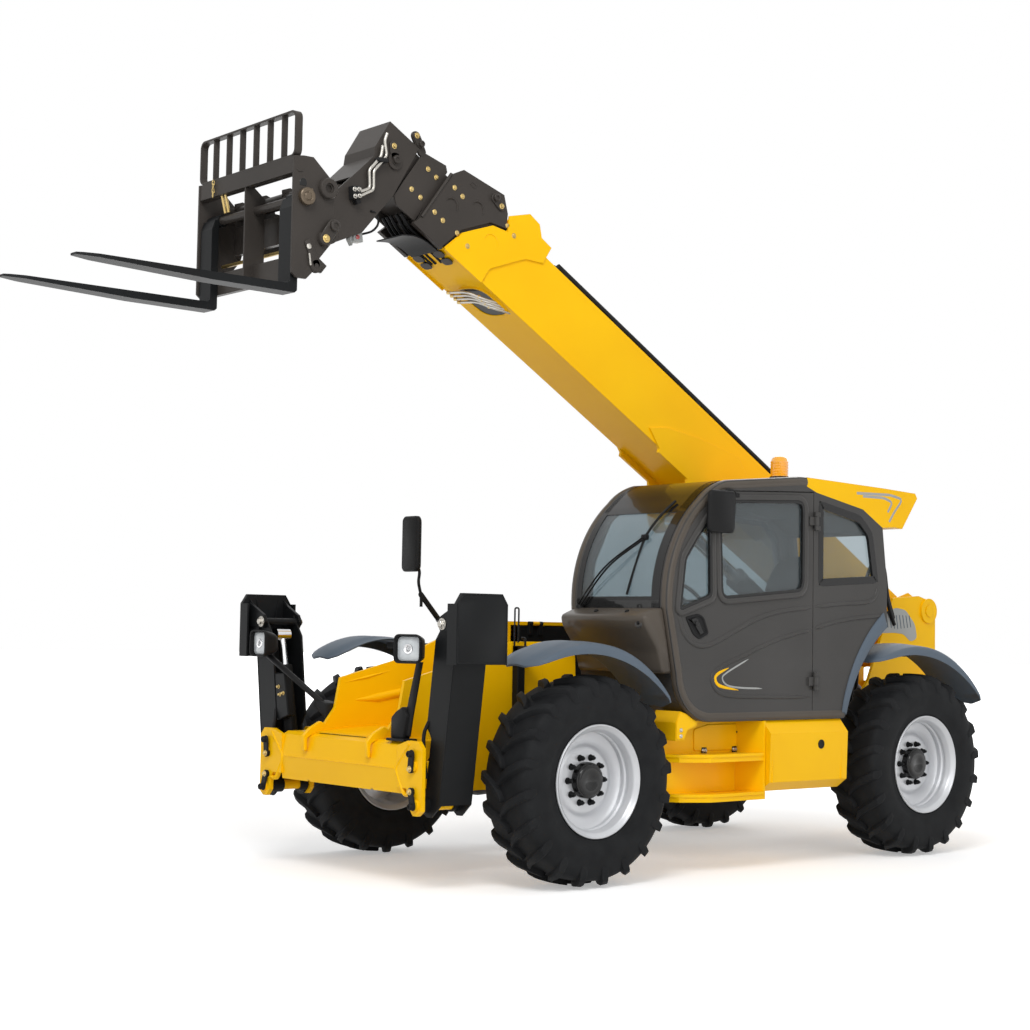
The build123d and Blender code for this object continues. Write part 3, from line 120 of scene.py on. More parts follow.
FINISH = {
    "yellow": worn_finish("yellow_enamel", (0.98, 0.555, 0.0015), (0.94, 0.51, 0.001), 0.34, coat=0.04),
    "boom_grey": worn_finish("boom_enamel", (0.052, 0.045, 0.04), (0.04, 0.035, 0.031), 0.4, coat=0.04),
    "frame_black": worn_finish("chassis_black", (0.0095, 0.0105, 0.0115), (0.007, 0.0075, 0.008), 0.42),
    "cab_charcoal": worn_finish("cab_charcoal", (0.064, 0.062, 0.06), (0.054, 0.052, 0.05), 0.4, coat=0.05),
    "fender": worn_finish("fender_plastic", (0.112, 0.142, 0.178), (0.098, 0.125, 0.158), 0.48, peel=0.15),
    "black_plastic": worn_finish("black_plastic", (0.012, 0.012, 0.013), (0.009, 0.009, 0.009), 0.5,
                                 peel=0.15),
    "rubber": worn_finish("tyre_rubber", (0.014, 0.0148, 0.0158), (0.009, 0.0095, 0.0105), 0.68,
                          patch=9, peel=0.25),
    "rim": worn_finish("rim_silver", (0.6, 0.61, 0.63), (0.54, 0.55, 0.57), 0.35, metallic=0.35, coat=0.2),
    "chrome": worn_finish("piston_chrome", (0.75, 0.75, 0.76), (0.7, 0.7, 0.71), 0.12, metallic=1.0,
                          peel=0),
    "glass": clear_glazing("cab_glazing", (0.4, 0.47, 0.5), 0.92),
    "amber": worn_finish("beacon_amber", (0.9, 0.42, 0.01), (0.84, 0.36, 0.01), 0.15, coat=0.5, peel=0),
    "seat": worn_finish("seat_cloth", (0.03, 0.031, 0.034), (0.022, 0.023, 0.025), 0.9, patch=30, peel=0.3),
    "gloss_black": worn_finish("hub_black", (0.012, 0.012, 0.012), (0.009, 0.009, 0.009), 0.22, coat=0.4),
    "cab_frame": worn_finish("cab_tube_brown", (0.092, 0.078, 0.064), (0.076, 0.064, 0.052), 0.34,
                             coat=0.12),
    "light_grey": worn_finish("stripe_grey", (0.42, 0.43, 0.42), (0.36, 0.37, 0.36), 0.4, peel=0),
    "zinc": worn_finish("zinc_steel", (0.52, 0.5, 0.46), (0.42, 0.4, 0.36), 0.32, metallic=0.85),
    "gold_zinc": worn_finish("gold_zinc", (0.62, 0.47, 0.2), (0.5, 0.36, 0.13), 0.34, metallic=0.8),
    "bronze": worn_finish("bronze_steel", (0.15, 0.115, 0.08), (0.105, 0.08, 0.055), 0.36,
                          metallic=0.6, peel=0.1),
    "lens": worn_finish("lamp_lens", (0.62, 0.65, 0.66), (0.5, 0.53, 0.55), 0.08, coat=0.8, patch=14,
                        peel=0),
    "red_lens": worn_finish("red_lens", (0.42, 0.012, 0.01), (0.3, 0.008, 0.007), 0.15, coat=0.6, peel=0),
    "cast": worn_finish("cast_housing", (0.02, 0.02, 0.021), (0.014, 0.014, 0.014), 0.6, peel=0.4),
}
SLOT_FINISH = {  # the solids' slots whose finish has another name
    "yellow_paint": "yellow", "fender_plastic": "fender", "tyre_rubber": "rubber", "rim_silver": "rim",
    "rod_chrome": "chrome", "clear_glass": "glass", "beacon_amber": "amber", "hose_rubber": "black_plastic",
    "seat_fabric": "seat", "cast_dark": "cast",
}
for part in frame["record"]["subparts"]:
    slot = part["material_slot"]
    nodes[part["node"]].data.materials.clear()
    nodes[part["node"]].data.materials.append(FINISH[SLOT_FINISH.get(slot, slot)])


# ---- shapes: each gives (points, faces), and several make one piece --------------------------------
def unit(vector):
    """The vector, or each row of vectors, divided by its length."""
    vector = np.asarray(vector, float)
    return vector / np.linalg.norm(vector, axis=-1, keepdims=True)


def moved(points):
    """Points whose x is measured from the axles' middle, in the scene's frame."""
    return np.asarray(points, float) + (AXLE_MIDDLE, 0, 0)


def square_to(axis):
    """Two unit vectors square to an axis and to each other."""
    axis = unit(axis)
    helper = np.array((0, 0, 1.0)) if abs(axis[2]) < 0.9 else np.array((1.0, 0, 0))
    first = unit(np.cross(helper, axis))
    return first, np.cross(axis, first)


def grid_faces(rows, columns, closed_ends=True):
    """Four-sided faces between neighbouring rows and columns of a grid of points, whose columns
    close on themselves, and a face over the first and the last row if closed_ends is set."""
    here = np.arange(rows - 1)[:, None] * columns + np.arange(columns)[None, :]
    beside = here - here % columns + (here + 1) % columns
    faces = np.stack([here, beside, beside + columns, here + columns], axis=-1).reshape(-1, 4).tolist()
    last = (rows - 1) * columns
    ends = [list(range(columns))[::-1], list(range(last, last + columns))]
    return faces + ends if closed_ends else faces


def joined(*shapes):
    """Several shapes as one, each one's faces counted on from the points before it."""
    points, faces, start = [], [], 0
    for shape_points, shape_faces in shapes:
        points.append(shape_points)
        faces += [[index + start for index in face] for face in shape_faces]
        start += len(shape_points)
    return np.concatenate(points), faces


def turned(profile, base, axis, segments=48):
    """Surface of revolution. A profile row (along, radius) at angle a is the point
    base + axis * along + radius * (u cos a + v sin a), with u and v square to the axis."""
    profile = np.asarray(profile, float)
    axis = unit(axis)
    u, v = square_to(axis)
    angle = np.linspace(0, TAU, segments, endpoint=False)
    ring = np.cos(angle)[:, None] * u + np.sin(angle)[:, None] * v
    points = np.asarray(base, float) + profile[:, None, :1] * axis + profile[:, None, 1:] * ring[None]
    return points.reshape(-1, 3), grid_faces(len(profile), segments)


def rod(ends, radius, sides=16, ease=0.0):
    """Round bar between two points, its ends eased by a small chamfer."""
    start, end = np.asarray(ends, float)
    length = np.linalg.norm(end - start)
    profile = [(0, radius - ease), (ease, radius), (length - ease, radius), (length, radius - ease)]
    return turned(profile if ease else [(0, radius), (length, radius)], start, end - start, sides)


def smooth_line(corners, per_run=6):
    """Catmull-Rom curve through the corners: each run is a cubic of its own two corners and the two
    beyond, read at per_run values of its parameter."""
    corners = np.asarray(corners, float)
    padded = np.concatenate([[2 * corners[0] - corners[1]], corners, [2 * corners[-1] - corners[-2]]])
    t = np.linspace(0, 1, per_run, endpoint=False)[None, :, None]
    p0, p1, p2, p3 = (padded[i:len(corners) - 1 + i, None, :] for i in range(4))
    run = 0.5 * (2 * p1 + (p2 - p0) * t + (2 * p0 - 5 * p1 + 4 * p2 - p3) * t**2
                 + (3 * p1 - p0 - 3 * p2 + p3) * t**3)
    return np.concatenate([run.reshape(-1, corners.shape[1]), corners[-1:]])


def corner_curves(before, corner, after, steps):
    """Rounded corners: (1-t)^2 a + 2 t (1-t) c + t^2 b, with c the corner, a before and b after it."""
    t = np.linspace(0, 1, steps)[None, :, None]
    curve = (1 - t) ** 2 * before[:, None] + 2 * t * (1 - t) * corner[:, None] + t**2 * after[:, None]
    return curve.reshape(-1, corner.shape[1])


def bent_line(corners, radius, steps=5):
    """Straight runs whose corners are rounded, from a radius before to a radius after each."""
    corners = np.asarray(corners, float)
    here = corners[1:-1]
    back, ahead = unit(corners[:-2] - here), unit(corners[2:] - here)
    bend = corner_curves(here + back * radius, here, here + ahead * radius, steps)
    return np.concatenate([corners[:1], bend, corners[-1:]])


def rounded(outline, radius, steps=4):
    """The outline with each corner rounded between points a radius away from it on its two edges,
    or half the shorter edge away if that is less."""
    outline = np.asarray(outline, float)
    back = np.roll(outline, 1, axis=0) - outline
    ahead = np.roll(outline, -1, axis=0) - outline
    reach = np.minimum(np.linalg.norm(back, axis=1), np.linalg.norm(ahead, axis=1))[:, None] * 0.49
    reach = np.minimum(reach, radius)
    return corner_curves(outline + unit(back) * reach, outline, outline + unit(ahead) * reach, steps)


def pipe(path, radius, sides=10):
    """Circle carried along a path: the ring at each point lies in the plane square to the path, and
    its zero angle keeps to one side because it is measured from one fixed direction."""
    path = np.asarray(path, float)
    run = unit(np.gradient(path, axis=0))
    spread = np.linalg.svd(path - path.mean(0))[2][2]
    first = unit(np.cross(run, spread))
    second = np.cross(run, first)
    angle = np.linspace(0, TAU, sides, endpoint=False)[None, :, None]
    points = path[:, None] + radius * (np.cos(angle) * first[:, None] + np.sin(angle) * second[:, None])
    return points.reshape(-1, 3), grid_faces(len(path), sides)


def drawn_in(outline, amount):
    """The outline moved inwards: each corner goes along the sum of its two edges' inward normals,
    divided by one plus their dot product, so that both edges move by the amount."""
    outline = np.asarray(outline, float)
    edge = unit(np.roll(outline, -1, axis=0) - outline)
    area = np.sum(outline[:, 0] * np.roll(outline[:, 1], -1) - np.roll(outline[:, 0], -1) * outline[:, 1])
    normal = np.stack([-edge[:, 1], edge[:, 0]], axis=1) * np.sign(area)
    before = np.roll(normal, 1, axis=0)
    share = 1 + np.sum(normal * before, axis=1, keepdims=True)
    return outline + amount * (normal + before) / np.maximum(share, 0.3)


def stacked(rings, place, closed_ends=True):
    """Skin over flat rings of like count: each is (outline, depth), and place turns it into points."""
    flat = np.concatenate([np.column_stack([ring, np.full(len(ring), depth)]) for ring, depth in rings])
    faces = grid_faces(len(rings), len(rings[0][0]), closed_ends)
    return place(flat[:, 0], flat[:, 1], flat[:, 2]), faces


def slab(outline, place, low, high, ease=0.003):
    """Plate of a flat outline between two depths: rings at low and high drawn in by the ease, and
    two full rings that far inside them. place turns (a, b, depth) into points."""
    outline = np.asarray(outline, float)
    ease = min(ease, (high - low) / 3)
    inner = drawn_in(outline, ease)
    return stacked([(inner, low), (outline, low + ease), (outline, high - ease), (inner, high)], place)


def plate(corners, radius, place, low, high, ease=0.003, steps=4):
    """Slab whose corners are rounded."""
    return slab(rounded(corners, radius, steps), place, low, high, ease)


def box_outline(low, high):
    """The four corners of a flat box."""
    return [(low[0], low[1]), (high[0], low[1]), (high[0], high[1]), (low[0], high[1])]


def brick(corners, ease=0.004):
    """Box between two corners with eased edges, as a slab of its plan."""
    low, high = corners
    return slab(box_outline(low, high), lambda a, b, d: np.column_stack([a, b, d]), low[2], high[2], ease)


def bolts(places, axis, radius=0.012, height=0.01):
    """Hexagon heads on washers: one small turned form of six sides on one of twelve, at each place."""
    washer = [(0, radius * 1.45), (0.002, radius * 1.45), (0.0028, radius * 1.35)]
    head = [(0.0028, radius), (height * 0.85, radius), (height, radius * 0.85)]
    return joined(*[turned(profile, place, axis, sides) for place in places
                    for profile, sides in ((washer, 12), (head, 6))])


def side_at(x, z, y):
    """Points of a plate seen from the left: x from the axles' middle, height, and y as its depth."""
    return np.column_stack([x + AXLE_MIDDLE, y, z])


def front_at(y, z, x):
    """Points of a plate seen from the front: y, height, and x from the axles' middle as its depth."""
    return np.column_stack([x + AXLE_MIDDLE, y, z])


def boom_at(s, t, y):
    """Points given along the boom, square to it, and across the machine."""
    return np.column_stack([
        BOOM_PIVOT[0] + s * np.cos(BOOM_LIFT) - t * np.sin(BOOM_LIFT), y + 0 * s,
        BOOM_PIVOT[1] + s * np.sin(BOOM_LIFT) + t * np.cos(BOOM_LIFT),
    ])


def on_side(turn, place=side_at):
    """Place function of the machine's left (1) or right (-1) side, from the left one's."""
    return lambda a, b, y: place(a, b, y * turn)


def on_front(turn):
    """Place function of the front's left (1) or right (-1) half."""
    return lambda y, z, x: front_at(y * turn, z, x)


def at(place, a, b, depth):
    """One point by way of a place function."""
    return place(np.array([float(a)]), np.array([float(b)]), float(depth))[0]


def spots(place, pairs, depth):
    """Points of one depth by way of a place function."""
    return [at(place, a, b, depth) for a, b in pairs]


def piece(name, shape, finish, body="chassis", smooth=40.0, stands_for=()):
    """Makes the mesh from one shape or a list of them, turns its faces outwards, shades it smooth up
    to an angle in degrees, gives it a finish and lets it ride on a body."""
    points, faces = joined(*shape) if isinstance(shape, list) else shape
    mesh = bpy.data.meshes.new(name)
    mesh.from_pydata(points.tolist(), [], faces)
    work = bmesh.new()
    work.from_mesh(mesh)
    bmesh.ops.remove_doubles(work, verts=work.verts, dist=1e-6)
    bmesh.ops.recalc_face_normals(work, faces=work.faces)
    work.to_mesh(mesh)
    work.free()
    mesh.materials.append(FINISH[finish])
    mesh.shade_smooth()
    mesh.set_sharp_from_angle(angle=np.radians(smooth))
    made = bpy.data.objects.new(name, mesh)
    bpy.context.scene.collection.objects.link(made)
    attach(made, body)
    if stands_for:
        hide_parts(*stands_for)
    return made


def arc(first, middle, last, steps=16):
    """Points of the circle through three points, from the first to the last: the middle m of the
    circle is equally far from all three, and the angle runs evenly between the two ends."""
    a, b, c = (np.asarray(p, float) for p in (first, middle, last))
    m = np.linalg.solve(2 * np.array([b - a, c - a]), np.array([b @ b - a @ a, c @ c - a @ a]))
    angles = np.unwrap([np.arctan2(*(p - m)[::-1]) for p in (a, b, c)])
    t = np.linspace(angles[0], angles[2], steps)
    return m + np.linalg.norm(a - m) * np.stack([np.cos(t), np.sin(t)], axis=1)


def bow(middle, radius, begin, end, steps=14):
    """Part of a circle between two angles in degrees."""
    t = np.radians(np.linspace(begin, end, steps))
    return np.asarray(middle, float) + radius * np.stack([np.cos(t), np.sin(t)], axis=1)


def stadium(first, last, radius, steps=9):
    """Outline of a bar with round ends: a half circle round each of two points."""
    first, last = np.asarray(first, float), np.asarray(last, float)
    t = np.arctan2(*(last - first)[::-1]) + np.linspace(np.pi / 2, 1.5 * np.pi, steps)
    half = radius * np.stack([np.cos(t), np.sin(t)], axis=1)
    return np.concatenate([first + half, last - half])


def border(outline, width, place, low, high, ease=0.003):
    """Raised border inside an outline: the section's corners, from the outer foot over the eased top
    to the inner foot, are rings drawn in by 0, 0, e, w - e, w, w."""
    section = [(0, low), (0, high - ease), (ease, high), (width - ease, high), (width, high - ease),
               (width, low), (0, low)]
    return stacked([(drawn_in(outline, inset), depth) for inset, depth in section], place, False)


def path_normals(path):
    """Left-hand normals of a flat path."""
    run = unit(np.gradient(path, axis=0))
    return np.stack([-run[:, 1], run[:, 0]], axis=1)


def bead(path, place, base, half_width, height, fade=0.15, sink=0.004):
    """Low ridge along a flat path. Across it, v gives the arch h (1 - v^2) for v from -1 to 1, and
    both width and height shrink to nothing over the share "fade" at the ends."""
    path = np.asarray(path, float)
    along = np.linspace(0, 1, len(path))
    grow = np.sqrt(np.clip(np.minimum(along, 1 - along) / fade, 0.02, 1)) if fade else np.ones(len(path))
    v = np.array([-1, -0.6, 0, 0.6, 1, 1, -1])
    rise = np.array([0, 0.64, 1, 0.64, 0, 0, 0])
    deep = np.array([0, 0, 0, 0, 0, 1, 1])
    sideways = path_normals(path)[:, None] * grow[:, None, None]
    flat = path[:, None] + sideways * (v * half_width)[None, :, None]
    depth = base + height * rise[None] * grow[:, None] - sink * deep[None]
    return place(flat[..., 0].ravel(), flat[..., 1].ravel(), depth.ravel()), grid_faces(len(path), 7)


def bent_band(path, across_low, across_high, under, over, place):
    """Strip that follows a flat path, between two positions across it, from "under" to "over" along
    the path's left-hand normal."""
    path = np.asarray(path, float)
    normal = path_normals(path)
    corners = [(across_low, under), (across_high, under), (across_high, over), (across_low, over)]
    flat = [np.column_stack([path + normal * off, np.full(len(path), y)]) for y, off in corners]
    flat = np.stack(flat, axis=1).reshape(-1, 3)
    return place(flat[:, 0], flat[:, 1], flat[:, 2]), grid_faces(len(path), 4)


# ---- wheels ----------------------------------------------------------------------------------------
LUG_PAIRS = 20
TREAD_RADIUS = 0.588
STUDS = 10
STUD_CIRCLE = 0.137
DISC_FACE = 0.057            # outer face of the disc, from the wheel's middle


def turned_on_axle(profile, middle, segments):
    """Closed profile of rows (outwards, radius) turned about a wheel's axle."""
    profile = np.asarray(profile, float)
    angle = np.linspace(0, TAU, segments, endpoint=False)
    ring = np.stack([np.cos(angle), 0 * angle, np.sin(angle)], axis=-1)
    grid = middle + profile[:, None, :1] * LEFTWARDS + profile[:, None, 1:] * ring[None]
    return grid.reshape(-1, 3), grid_faces(len(profile), segments, False)


def tyre_carcass(middle):
    """Tyre without its lugs: bead, bulged sidewall with two thin ribs, and a crown that falls off
    towards the shoulders."""
    half = np.array([(0.163, 0.3105), (0.169, 0.33), (0.176, 0.343), (0.1795, 0.349), (0.178, 0.356),
                     (0.1815, 0.366), (0.1805, 0.372), (0.1875, 0.392), (0.1935, 0.418), (0.197, 0.448),
                     (0.1975, 0.476), (0.1955, 0.503), (0.1905, 0.53), (0.183, 0.553), (0.171, 0.57),
                     (0.15, 0.58), (0.11, 0.5855), (0.06, 0.588), (0.0, 0.5885)])
    whole = np.concatenate([half * (-1, 1), half[::-1], half[:1] * (-1, 1)])
    return turned_on_axle(whole, middle, 120)


def lugs(middle, side, turn):
    """Lugs of one side of the tread. Along a lug, from just over the wheel's middle to the shoulder
    and down the sidewall, width position, top radius and sweep come from short tables; across it,
    the section goes up one flank, over the top and down the other."""
    width_at = np.array([-0.012, 0.02, 0.07, 0.128, 0.172, 0.192, 0.1975])
    top_at = np.array([0.6205, 0.6215, 0.6215, 0.6175, 0.606, 0.586, 0.515])
    sweep_at = np.array([0.0, 0.038, 0.072, 0.1, 0.121, 0.131, 0.14])
    half_top = np.array([0.01, 0.019, 0.02, 0.021, 0.022, 0.022, 0.018])
    half_foot = half_top + np.array([0.006, 0.01, 0.012, 0.013, 0.012, 0.01, 0.003])
    foot_radius = np.minimum(top_at - 0.002, np.array([0.58, 0.582, 0.581, 0.577, 0.562, 0.53, 0.495]))
    across = np.stack([-half_foot, -half_top - 0.001, -half_top + 0.003, half_top - 0.003,
                       half_top + 0.001, half_foot], axis=1)
    radius = np.stack([foot_radius, top_at - 0.004, top_at, top_at, top_at - 0.004, foot_radius], axis=1)
    start = (np.arange(LUG_PAIRS) + (0 if side > 0 else 0.5)) * TAU / LUG_PAIRS
    angle = start[:, None, None] + (sweep_at[:, None] + across)[None] / TREAD_RADIUS
    lateral = np.broadcast_to(width_at[None, :, None] * side * turn, angle.shape)
    points = np.stack([-radius * np.sin(angle), lateral, radius * np.cos(angle)], axis=-1)
    faces = grid_faces(*across.shape)
    return joined(*[(middle + lug.reshape(-1, 3), faces) for lug in points])


def rim_shell(middle, turn):
    """Wheel rim: rolled outer flange, ridged barrel seen from outside, and the dished disc with a
    step round its middle."""
    profile = [(0.176, 0.3345), (0.183, 0.3335), (0.186, 0.329), (0.184, 0.324), (0.178, 0.3205),
               (0.17, 0.3075), (0.156, 0.2975), (0.146, 0.2965), (0.136, 0.289), (0.122, 0.288),
               (0.114, 0.296), (0.1, 0.2955), (0.092, 0.286), (0.08, 0.285), (0.072, 0.29),
               (0.058, 0.289), (0.048, 0.276), (0.044, 0.25), (0.04, 0.22), (0.047, 0.205),
               (0.056, 0.195), (0.058, 0.18), (0.058, 0.1), (0.05, 0.1),
               # and back along the inner side
               (0.026, 0.1), (0.026, 0.276), (-0.12, 0.28), (-0.168, 0.3), (-0.182, 0.324),
               (-0.186, 0.329), (-0.183, 0.334), (-0.176, 0.3345), (-0.17, 0.309), (0.166, 0.309),
               (0.176, 0.3345)]
    return turned_on_axle(np.array(profile) * (turn, 1), middle, 72)


def hub_cap(middle, turn):
    """Black planet hub: a drum, a chamfer and a recessed end plate."""
    profile = [(0.032, 0.0), (0.032, 0.104), (0.06, 0.1075), (0.098, 0.1065), (0.103, 0.1035),
               (0.104, 0.097), (0.11, 0.094), (0.114, 0.088), (0.1155, 0.08), (0.1155, 0.04),
               (0.1125, 0.034), (0.1125, 0.0)]
    return turned(profile, middle, (0, turn, 0))


def wheel_studs(middle, turn):
    """Studs with nuts on cone washers round the disc."""
    angle = np.arange(STUDS) * TAU / STUDS
    ring = [STUD_CIRCLE * np.cos(angle), 0 * angle + turn * DISC_FACE, STUD_CIRCLE * np.sin(angle)]
    washer = [(0, 0.021), (0.008, 0.018)]
    nut = [(0.008, 0.0165), (0.026, 0.0165), (0.029, 0.014)]
    stud = [(0.026, 0.009), (0.04, 0.009), (0.042, 0.007)]
    return joined(*[turned(profile, place, (0, turn, 0), sides)
                    for place in middle + np.stack(ring, axis=-1)
                    for profile, sides in ((washer, 16), (nut, 6), (stud, 10))])


def wheels():
    """All four wheels, each in place of its two solids."""
    for name in ("front_left", "front_right", "rear_left", "rear_right"):
        turn = 1 if name.endswith("left") else -1
        middle = np.asarray(JOINT[f"roll_{name}"]["pos_m"], float)
        body = f"wheel_{name}"
        tyre = [tyre_carcass(middle), lugs(middle, 1, turn), lugs(middle, -1, turn)]
        piece(f"{name}_tyre", tyre, "rubber", body, 35, [f"tyre_{name}"])
        valve = rod(middle + [(0.2, turn * 0.052, -0.165), (0.222, turn * 0.11, -0.185)], 0.011, 10, 0.002)
        piece(f"{name}_rim", [rim_shell(middle, turn), valve], "rim", body, 35, [f"rim_{name}"])
        piece(f"{name}_hub", hub_cap(middle, turn), "gloss_black", body)
        piece(f"{name}_studs", wheel_studs(middle, turn), "frame_black", body)


# ---- cab -------------------------------------------------------------------------------------------
CAB_SIDE = 1.14              # outer faces of the door and of the right wall
CAB_RIGHT = 0.27
SCREEN_SPAN = 0.328, 1.082   # right and left edge of the windscreen
SCREEN_BAND = -0.001, -0.0035     # its black band's under and outer side
SCREEN_ARC = arc((0.95, 1.64), (0.895, 2.01), (0.65, 2.34), 20)
BROW_ARC = arc((0.65, 2.34), (0.555, 2.415), (0.43, 2.465), 8)
SILL_ARC = arc((0.86, 1.24), (0.782, 1.055), (0.56, 0.955), 12)
REAR_ARC = arc((-0.735, 0.975), (-0.905, 1.32), (-1.16, 1.56), 14)
REAR_WHEEL = -1.535, 0.625


def cab_frame():
    """Rounded frame tubes of the cab: one round the door side from the roof down to the sill, and
    one along the right edge of the windscreen and the roof's front edge."""
    outer = np.concatenate([[(-0.33, 2.533), (-0.275, 2.533)], BROW_ARC[::-1], SCREEN_ARC[::-1][1:],
                            SILL_ARC, [(0.3, 0.955), (-0.715, 0.955)]])
    inward = -path_normals(outer)
    tubes = []
    for count, inset, y, radius, sides in (
        (len(outer), 0.03, CAB_SIDE - 0.028, 0.036, 14),
        (len(BROW_ARC) + len(SCREEN_ARC) + 1, 0.022, CAB_RIGHT + 0.022, 0.028, 12),
    ):
        line = (outer + inward * inset)[:count]
        tubes.append(pipe(side_at(line[:, 0], line[:, 1], np.full(count, y)), radius, sides))
    piece("cab_frame_tubes", tubes, "cab_frame", smooth=60)


def pane_borders():
    """Black bands round the panes, seals in the door's windows and their raised frames."""
    rear = rounded([(-0.448, 2.392), (-0.88, 2.314), (-1.004, 2.202), (-1.07, 1.862), (-0.448, 1.822)],
                   0.05, 6)
    door = rounded([(0.5, 2.337), (-0.302, 2.377), (-0.302, 1.788), (0.472, 1.72)], 0.07, 7)
    quarter = rounded([(0.558, 1.733), (0.842, 1.638), (0.802, 1.962), (0.702, 2.092), (0.573, 2.239)],
                      0.03)
    right = rounded([(-1.044, 1.866), (-0.984, 2.184), (-0.862, 2.304), (0.44, 2.394), (0.644, 2.243),
                     (0.794, 1.96), (0.824, 1.636), (-1.004, 1.636)], 0.04, 5)
    bands = [border(rear, 0.05, side_at, 1.1185, CAB_SIDE + 0.002, 0.002)]
    bands += [border(drawn_in(outline, -0.004), 0.02, side_at, 1.12, CAB_SIDE + 0.008)
              for outline in (door, quarter)]
    bands.append(border(right, 0.045, lambda x, z, y: side_at(x, z, 2 * CAB_RIGHT - y), CAB_RIGHT - 0.012,
                        CAB_RIGHT + 0.002, 0.002))
    # the bent windscreen: bands along both sides and across its foot and top
    whole = np.concatenate([SCREEN_ARC, BROW_ARC[1:]])
    for path, span in ((whole, (1.01, SCREEN_SPAN[1])), (whole, (SCREEN_SPAN[0], 0.372)),
                       (whole[:3], SCREEN_SPAN), (whole[16:], SCREEN_SPAN)):
        bands.append(bent_band(path, *span, *SCREEN_BAND, side_at))
    piece("pane_bands", bands, "gloss_black", smooth=35)
    frames = [border(drawn_in(outline, -0.04), 0.038, side_at, CAB_SIDE - 0.003, CAB_SIDE + 0.012, 0.006)
              for outline in (door, quarter)]
    piece("door_window_frames", frames, "cab_charcoal", "door", 50)


def door_dress():
    """Creases pressed into the door and rear quarter, the striped pocket and the handle."""
    for name, body, creases in (  # half width, height and corners of each crease
        ("door_creases", "door", (
            (0.016, 0.009, [(0.85, 1.615), (0.8, 1.5), (0.702, 1.432), (0.573, 1.431), (0.355, 1.516),
                            (0.132, 1.604), (-0.097, 1.655), (-0.385, 1.684)]),
            (0.013, 0.008, [(-0.385, 1.537), (-0.216, 1.507), (0.039, 1.443), (0.264, 1.364),
                            (0.47, 1.295), (0.552, 1.225), (0.503, 1.144), (0.371, 1.111),
                            (0.011, 1.102), (-0.385, 1.098)]))),
        ("quarter_creases", "chassis", (
            (0.014, 0.009, [(-0.415, 1.688), (-0.697, 1.715), (-0.93, 1.728), (-1.03, 1.765),
                            (-1.062, 1.838)]),
            (0.014, 0.009, [(-0.415, 1.545), (-0.576, 1.584), (-0.823, 1.62), (-1.12, 1.641)]))),
    ):
        ridges = [bead(smooth_line(path, 5), side_at, CAB_SIDE, half, height, 0.04)
                  for half, height, path in creases]
        piece(name, ridges, "cab_charcoal", body, 60)
    yellow = smooth_line([(0.396, 1.288), (0.494, 1.25), (0.516, 1.215), (0.471, 1.174), (0.305, 1.147)])
    grey = smooth_line([(0.214, 1.344), (0.418, 1.255), (0.452, 1.218), (0.405, 1.178), (0.283, 1.162),
                        (0.085, 1.156)])
    yellow = bead(yellow, side_at, CAB_SIDE, 0.011, 0.0015, 0.25, 0.001)
    grey = bead(grey, side_at, CAB_SIDE, 0.0055, 0.0015, 0.05, 0.001)
    piece("door_stripe_yellow", yellow, "yellow", "door")
    piece("door_stripe_grey", grey, "light_grey", "door")
    cup = rounded([(0.792, 1.6), (0.676, 1.624), (0.626, 1.602), (0.58, 1.5), (0.668, 1.462),
                   (0.722, 1.492)], 0.02)
    recess = [border(cup, 0.016, side_at, CAB_SIDE - 0.004, CAB_SIDE + 0.006, 0.003),
              slab(drawn_in(cup, 0.014), side_at, CAB_SIDE - 0.004, CAB_SIDE + 0.001, 0.001)]
    piece("door_handle_cup", recess, "black_plastic", "door")
    lever = plate([(0.742, 1.588), (0.69, 1.596), (0.632, 1.506), (0.66, 1.49)], 0.012, side_at,
                  CAB_SIDE + 0.001, CAB_SIDE + 0.01)
    knob = turned([(0, 0.016), (0.01, 0.016), (0.014, 0.012)], moved((0.7, 1.147, 1.562)), LEFTWARDS, 20)
    piece("door_handle", [lever, knob], "gloss_black", "door")


def cab_outside():
    """Wheel-arch strip, stripes on the roof's spoiler, and the wiper."""
    away = unit(REAR_ARC - REAR_WHEEL)
    inner = REAR_ARC + away * np.linspace(0.045, 0.11, len(REAR_ARC))[:, None]
    strip = np.concatenate([REAR_ARC + away * 0.004, inner[::-1]])
    piece("arch_strip", slab(strip, side_at, 1.1, CAB_SIDE + 0.016, 0.008), "fender", smooth=50)
    stripes = [bent_line([(-0.835, 2.462), (-1.19, 2.47), (-1.325, 2.447), (-1.235, 2.355), (-1.18, 2.285)],
                         0.04, 4),
               bent_line([(-0.9, 2.445), (-1.12, 2.447), (-1.215, 2.42), (-1.165, 2.35)], 0.03, 4)]
    lines = [bead(path, side_at, CAB_SIDE, 0.009, 0.0012, 0, 0.001) for path in stripes]
    piece("roof_stripes", lines, "light_grey")
    # wiper: pivot on the cowl's edge, two arms and a parked blade
    pivot, head = moved((0.985, 0.36, 1.665)), moved((0.868, 0.86, 2.095))
    arms = []
    for side in (0.0, 0.03):
        middle = (pivot + head) / 2 + (0.05, side, 0.03)
        arm = smooth_line([pivot + (0, side, 0), middle, head + (0.02, 0, -side * 0.5)], 8)
        arms.append(pipe(arm, 0.006, 8))
    blade = smooth_line(moved([(0.965, 0.8, 1.735), (0.93, 0.83, 1.9), (0.868, 0.86, 2.095),
                               (0.78, 0.905, 2.235), (0.69, 0.945, 2.33)]))
    arms.append(pipe(blade, 0.009, 8))
    boss = [(0, 0.026), (0.03, 0.026), (0.038, 0.018)]
    arms.append(turned(boss, pivot + (-0.01, 0.015, -0.03), UPWARDS, 20))
    arms.append(brick(head + [(-0.012, -0.02, -0.018), (0.018, 0.02, 0.018)]))
    piece("wiper", arms, "black_plastic", smooth=50)


